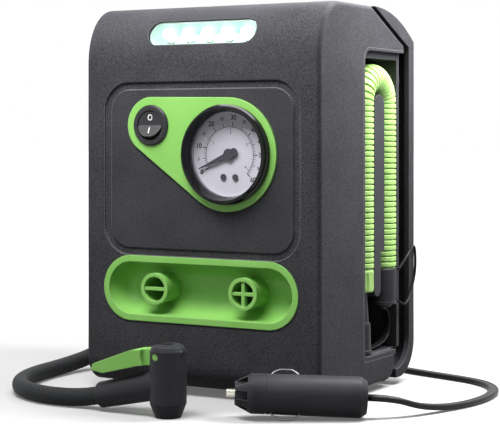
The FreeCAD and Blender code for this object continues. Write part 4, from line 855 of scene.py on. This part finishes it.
def work_lamps():
    """Domed lamps from the reflector's floor to just behind the lens, a little above its middle."""
    inward = np.array([0.0, math.cos(LED_TILT), -math.sin(LED_TILT)])
    upward = np.array([0.0, math.sin(LED_TILT), math.cos(LED_TILT)])
    profile = domed(LAMP_R, LED_FLOOR - LED_TIP - LAMP_R, LAMP_R, steps=9)
    for k in range(LAMP_COUNT):
        middle = np.array([LED_PITCH * (k - (LAMP_COUNT - 1) / 2), LED_T, LED_Z])
        foot = middle + LED_FLOOR * inward + LAMP_LIFT * upward
        made = lathe(f"lamp_{k + 1}", profile, foot, -inward)
        piece(made, "lamp", "housing", "clear_lens", "led_lamps")


dial_scale()
dial_figures()
switch_marks()
chuck_stop()
work_lamps()


# Studio

def seen_directly(tree):
    """One for rays from the camera, off gloss or through glass, nothing for the rest."""
    path = add(tree, "LightPath", {}).outputs
    either = calc(tree, "MAXIMUM", path["Is Camera Ray"], path["Is Glossy Ray"])
    return calc(tree, "MAXIMUM", either, path["Is Transmission Ray"])


def floor_paper():
    """Pale floor that keeps the shadow and turns white away from the object."""
    bpy.ops.mesh.primitive_plane_add(size=FLOOR_SIZE)
    floor = bpy.context.object
    floor.name = "floor"
    made, tree, shader = material("white floor paper", {
        "Roughness": 0.6, "Specular IOR Level": 0.1, "Emission Color": WHITE})
    seen = seen_directly(tree)
    away = add(tree, "VectorMath", {0: on_object(tree)}, operation="LENGTH")
    white = mapped(tree, away.outputs["Value"], FLOOR_NEAR, 1.0, start=FLOOR_FADE,
                   interpolation_type="SMOOTHSTEP")
    fill(shader, {
        "Base Color": mapped(tree, seen, FLOOR_BOUNCE, FLOOR_TONE),
        "Emission Strength": calc(tree, "MULTIPLY", white, seen)})
    floor.data.materials.append(made)


def white_world():
    """Plain world: white to the eye and in reflections, a low even light on the object."""
    world = bpy.data.worlds.new("white studio")
    bpy.context.scene.world = world
    world.use_nodes = True
    tree = world.node_tree
    strength = mapped(tree, seen_directly(tree), WORLD_LEVEL, 1.0)
    fill(tree.nodes["Background"], {"Color": WHITE, "Strength": strength})


def soft_box(name, at, size, watts, aim):
    """Rectangular lamp at a place in metres, turned to face another."""
    light = bpy.data.lights.new(name, "AREA")
    light.shape = "RECTANGLE"
    light.size, light.size_y = size
    light.energy = watts
    holder = linked(name, light)
    holder.location = at
    holder.rotation_euler = (Vector(aim) - Vector(at)).to_track_quat("-Z", "Y").to_euler()


def camera():
    """Long lens, level, a little above the gauge, turned 30 degrees to the right of the front."""
    lens = bpy.data.cameras.new("camera")
    lens.sensor_width = SENSOR
    lens.lens = SENSOR * FOCAL / FRAME_W
    lens.shift_y = (HORIZON - FRAME_H / 2) / FRAME_W
    lens.clip_end = CAMERA_REACH
    holder = linked("camera", lens)
    holder.location = CAMERA_AT
    holder.rotation_euler = (math.radians(90), 0, CAMERA_TURN)
    bpy.context.scene.camera = holder


floor_paper()
white_world()
for box in SOFT_BOXES:
    soft_box(*box)
camera()
bpy.context.scene.view_settings.view_transform = "Standard"
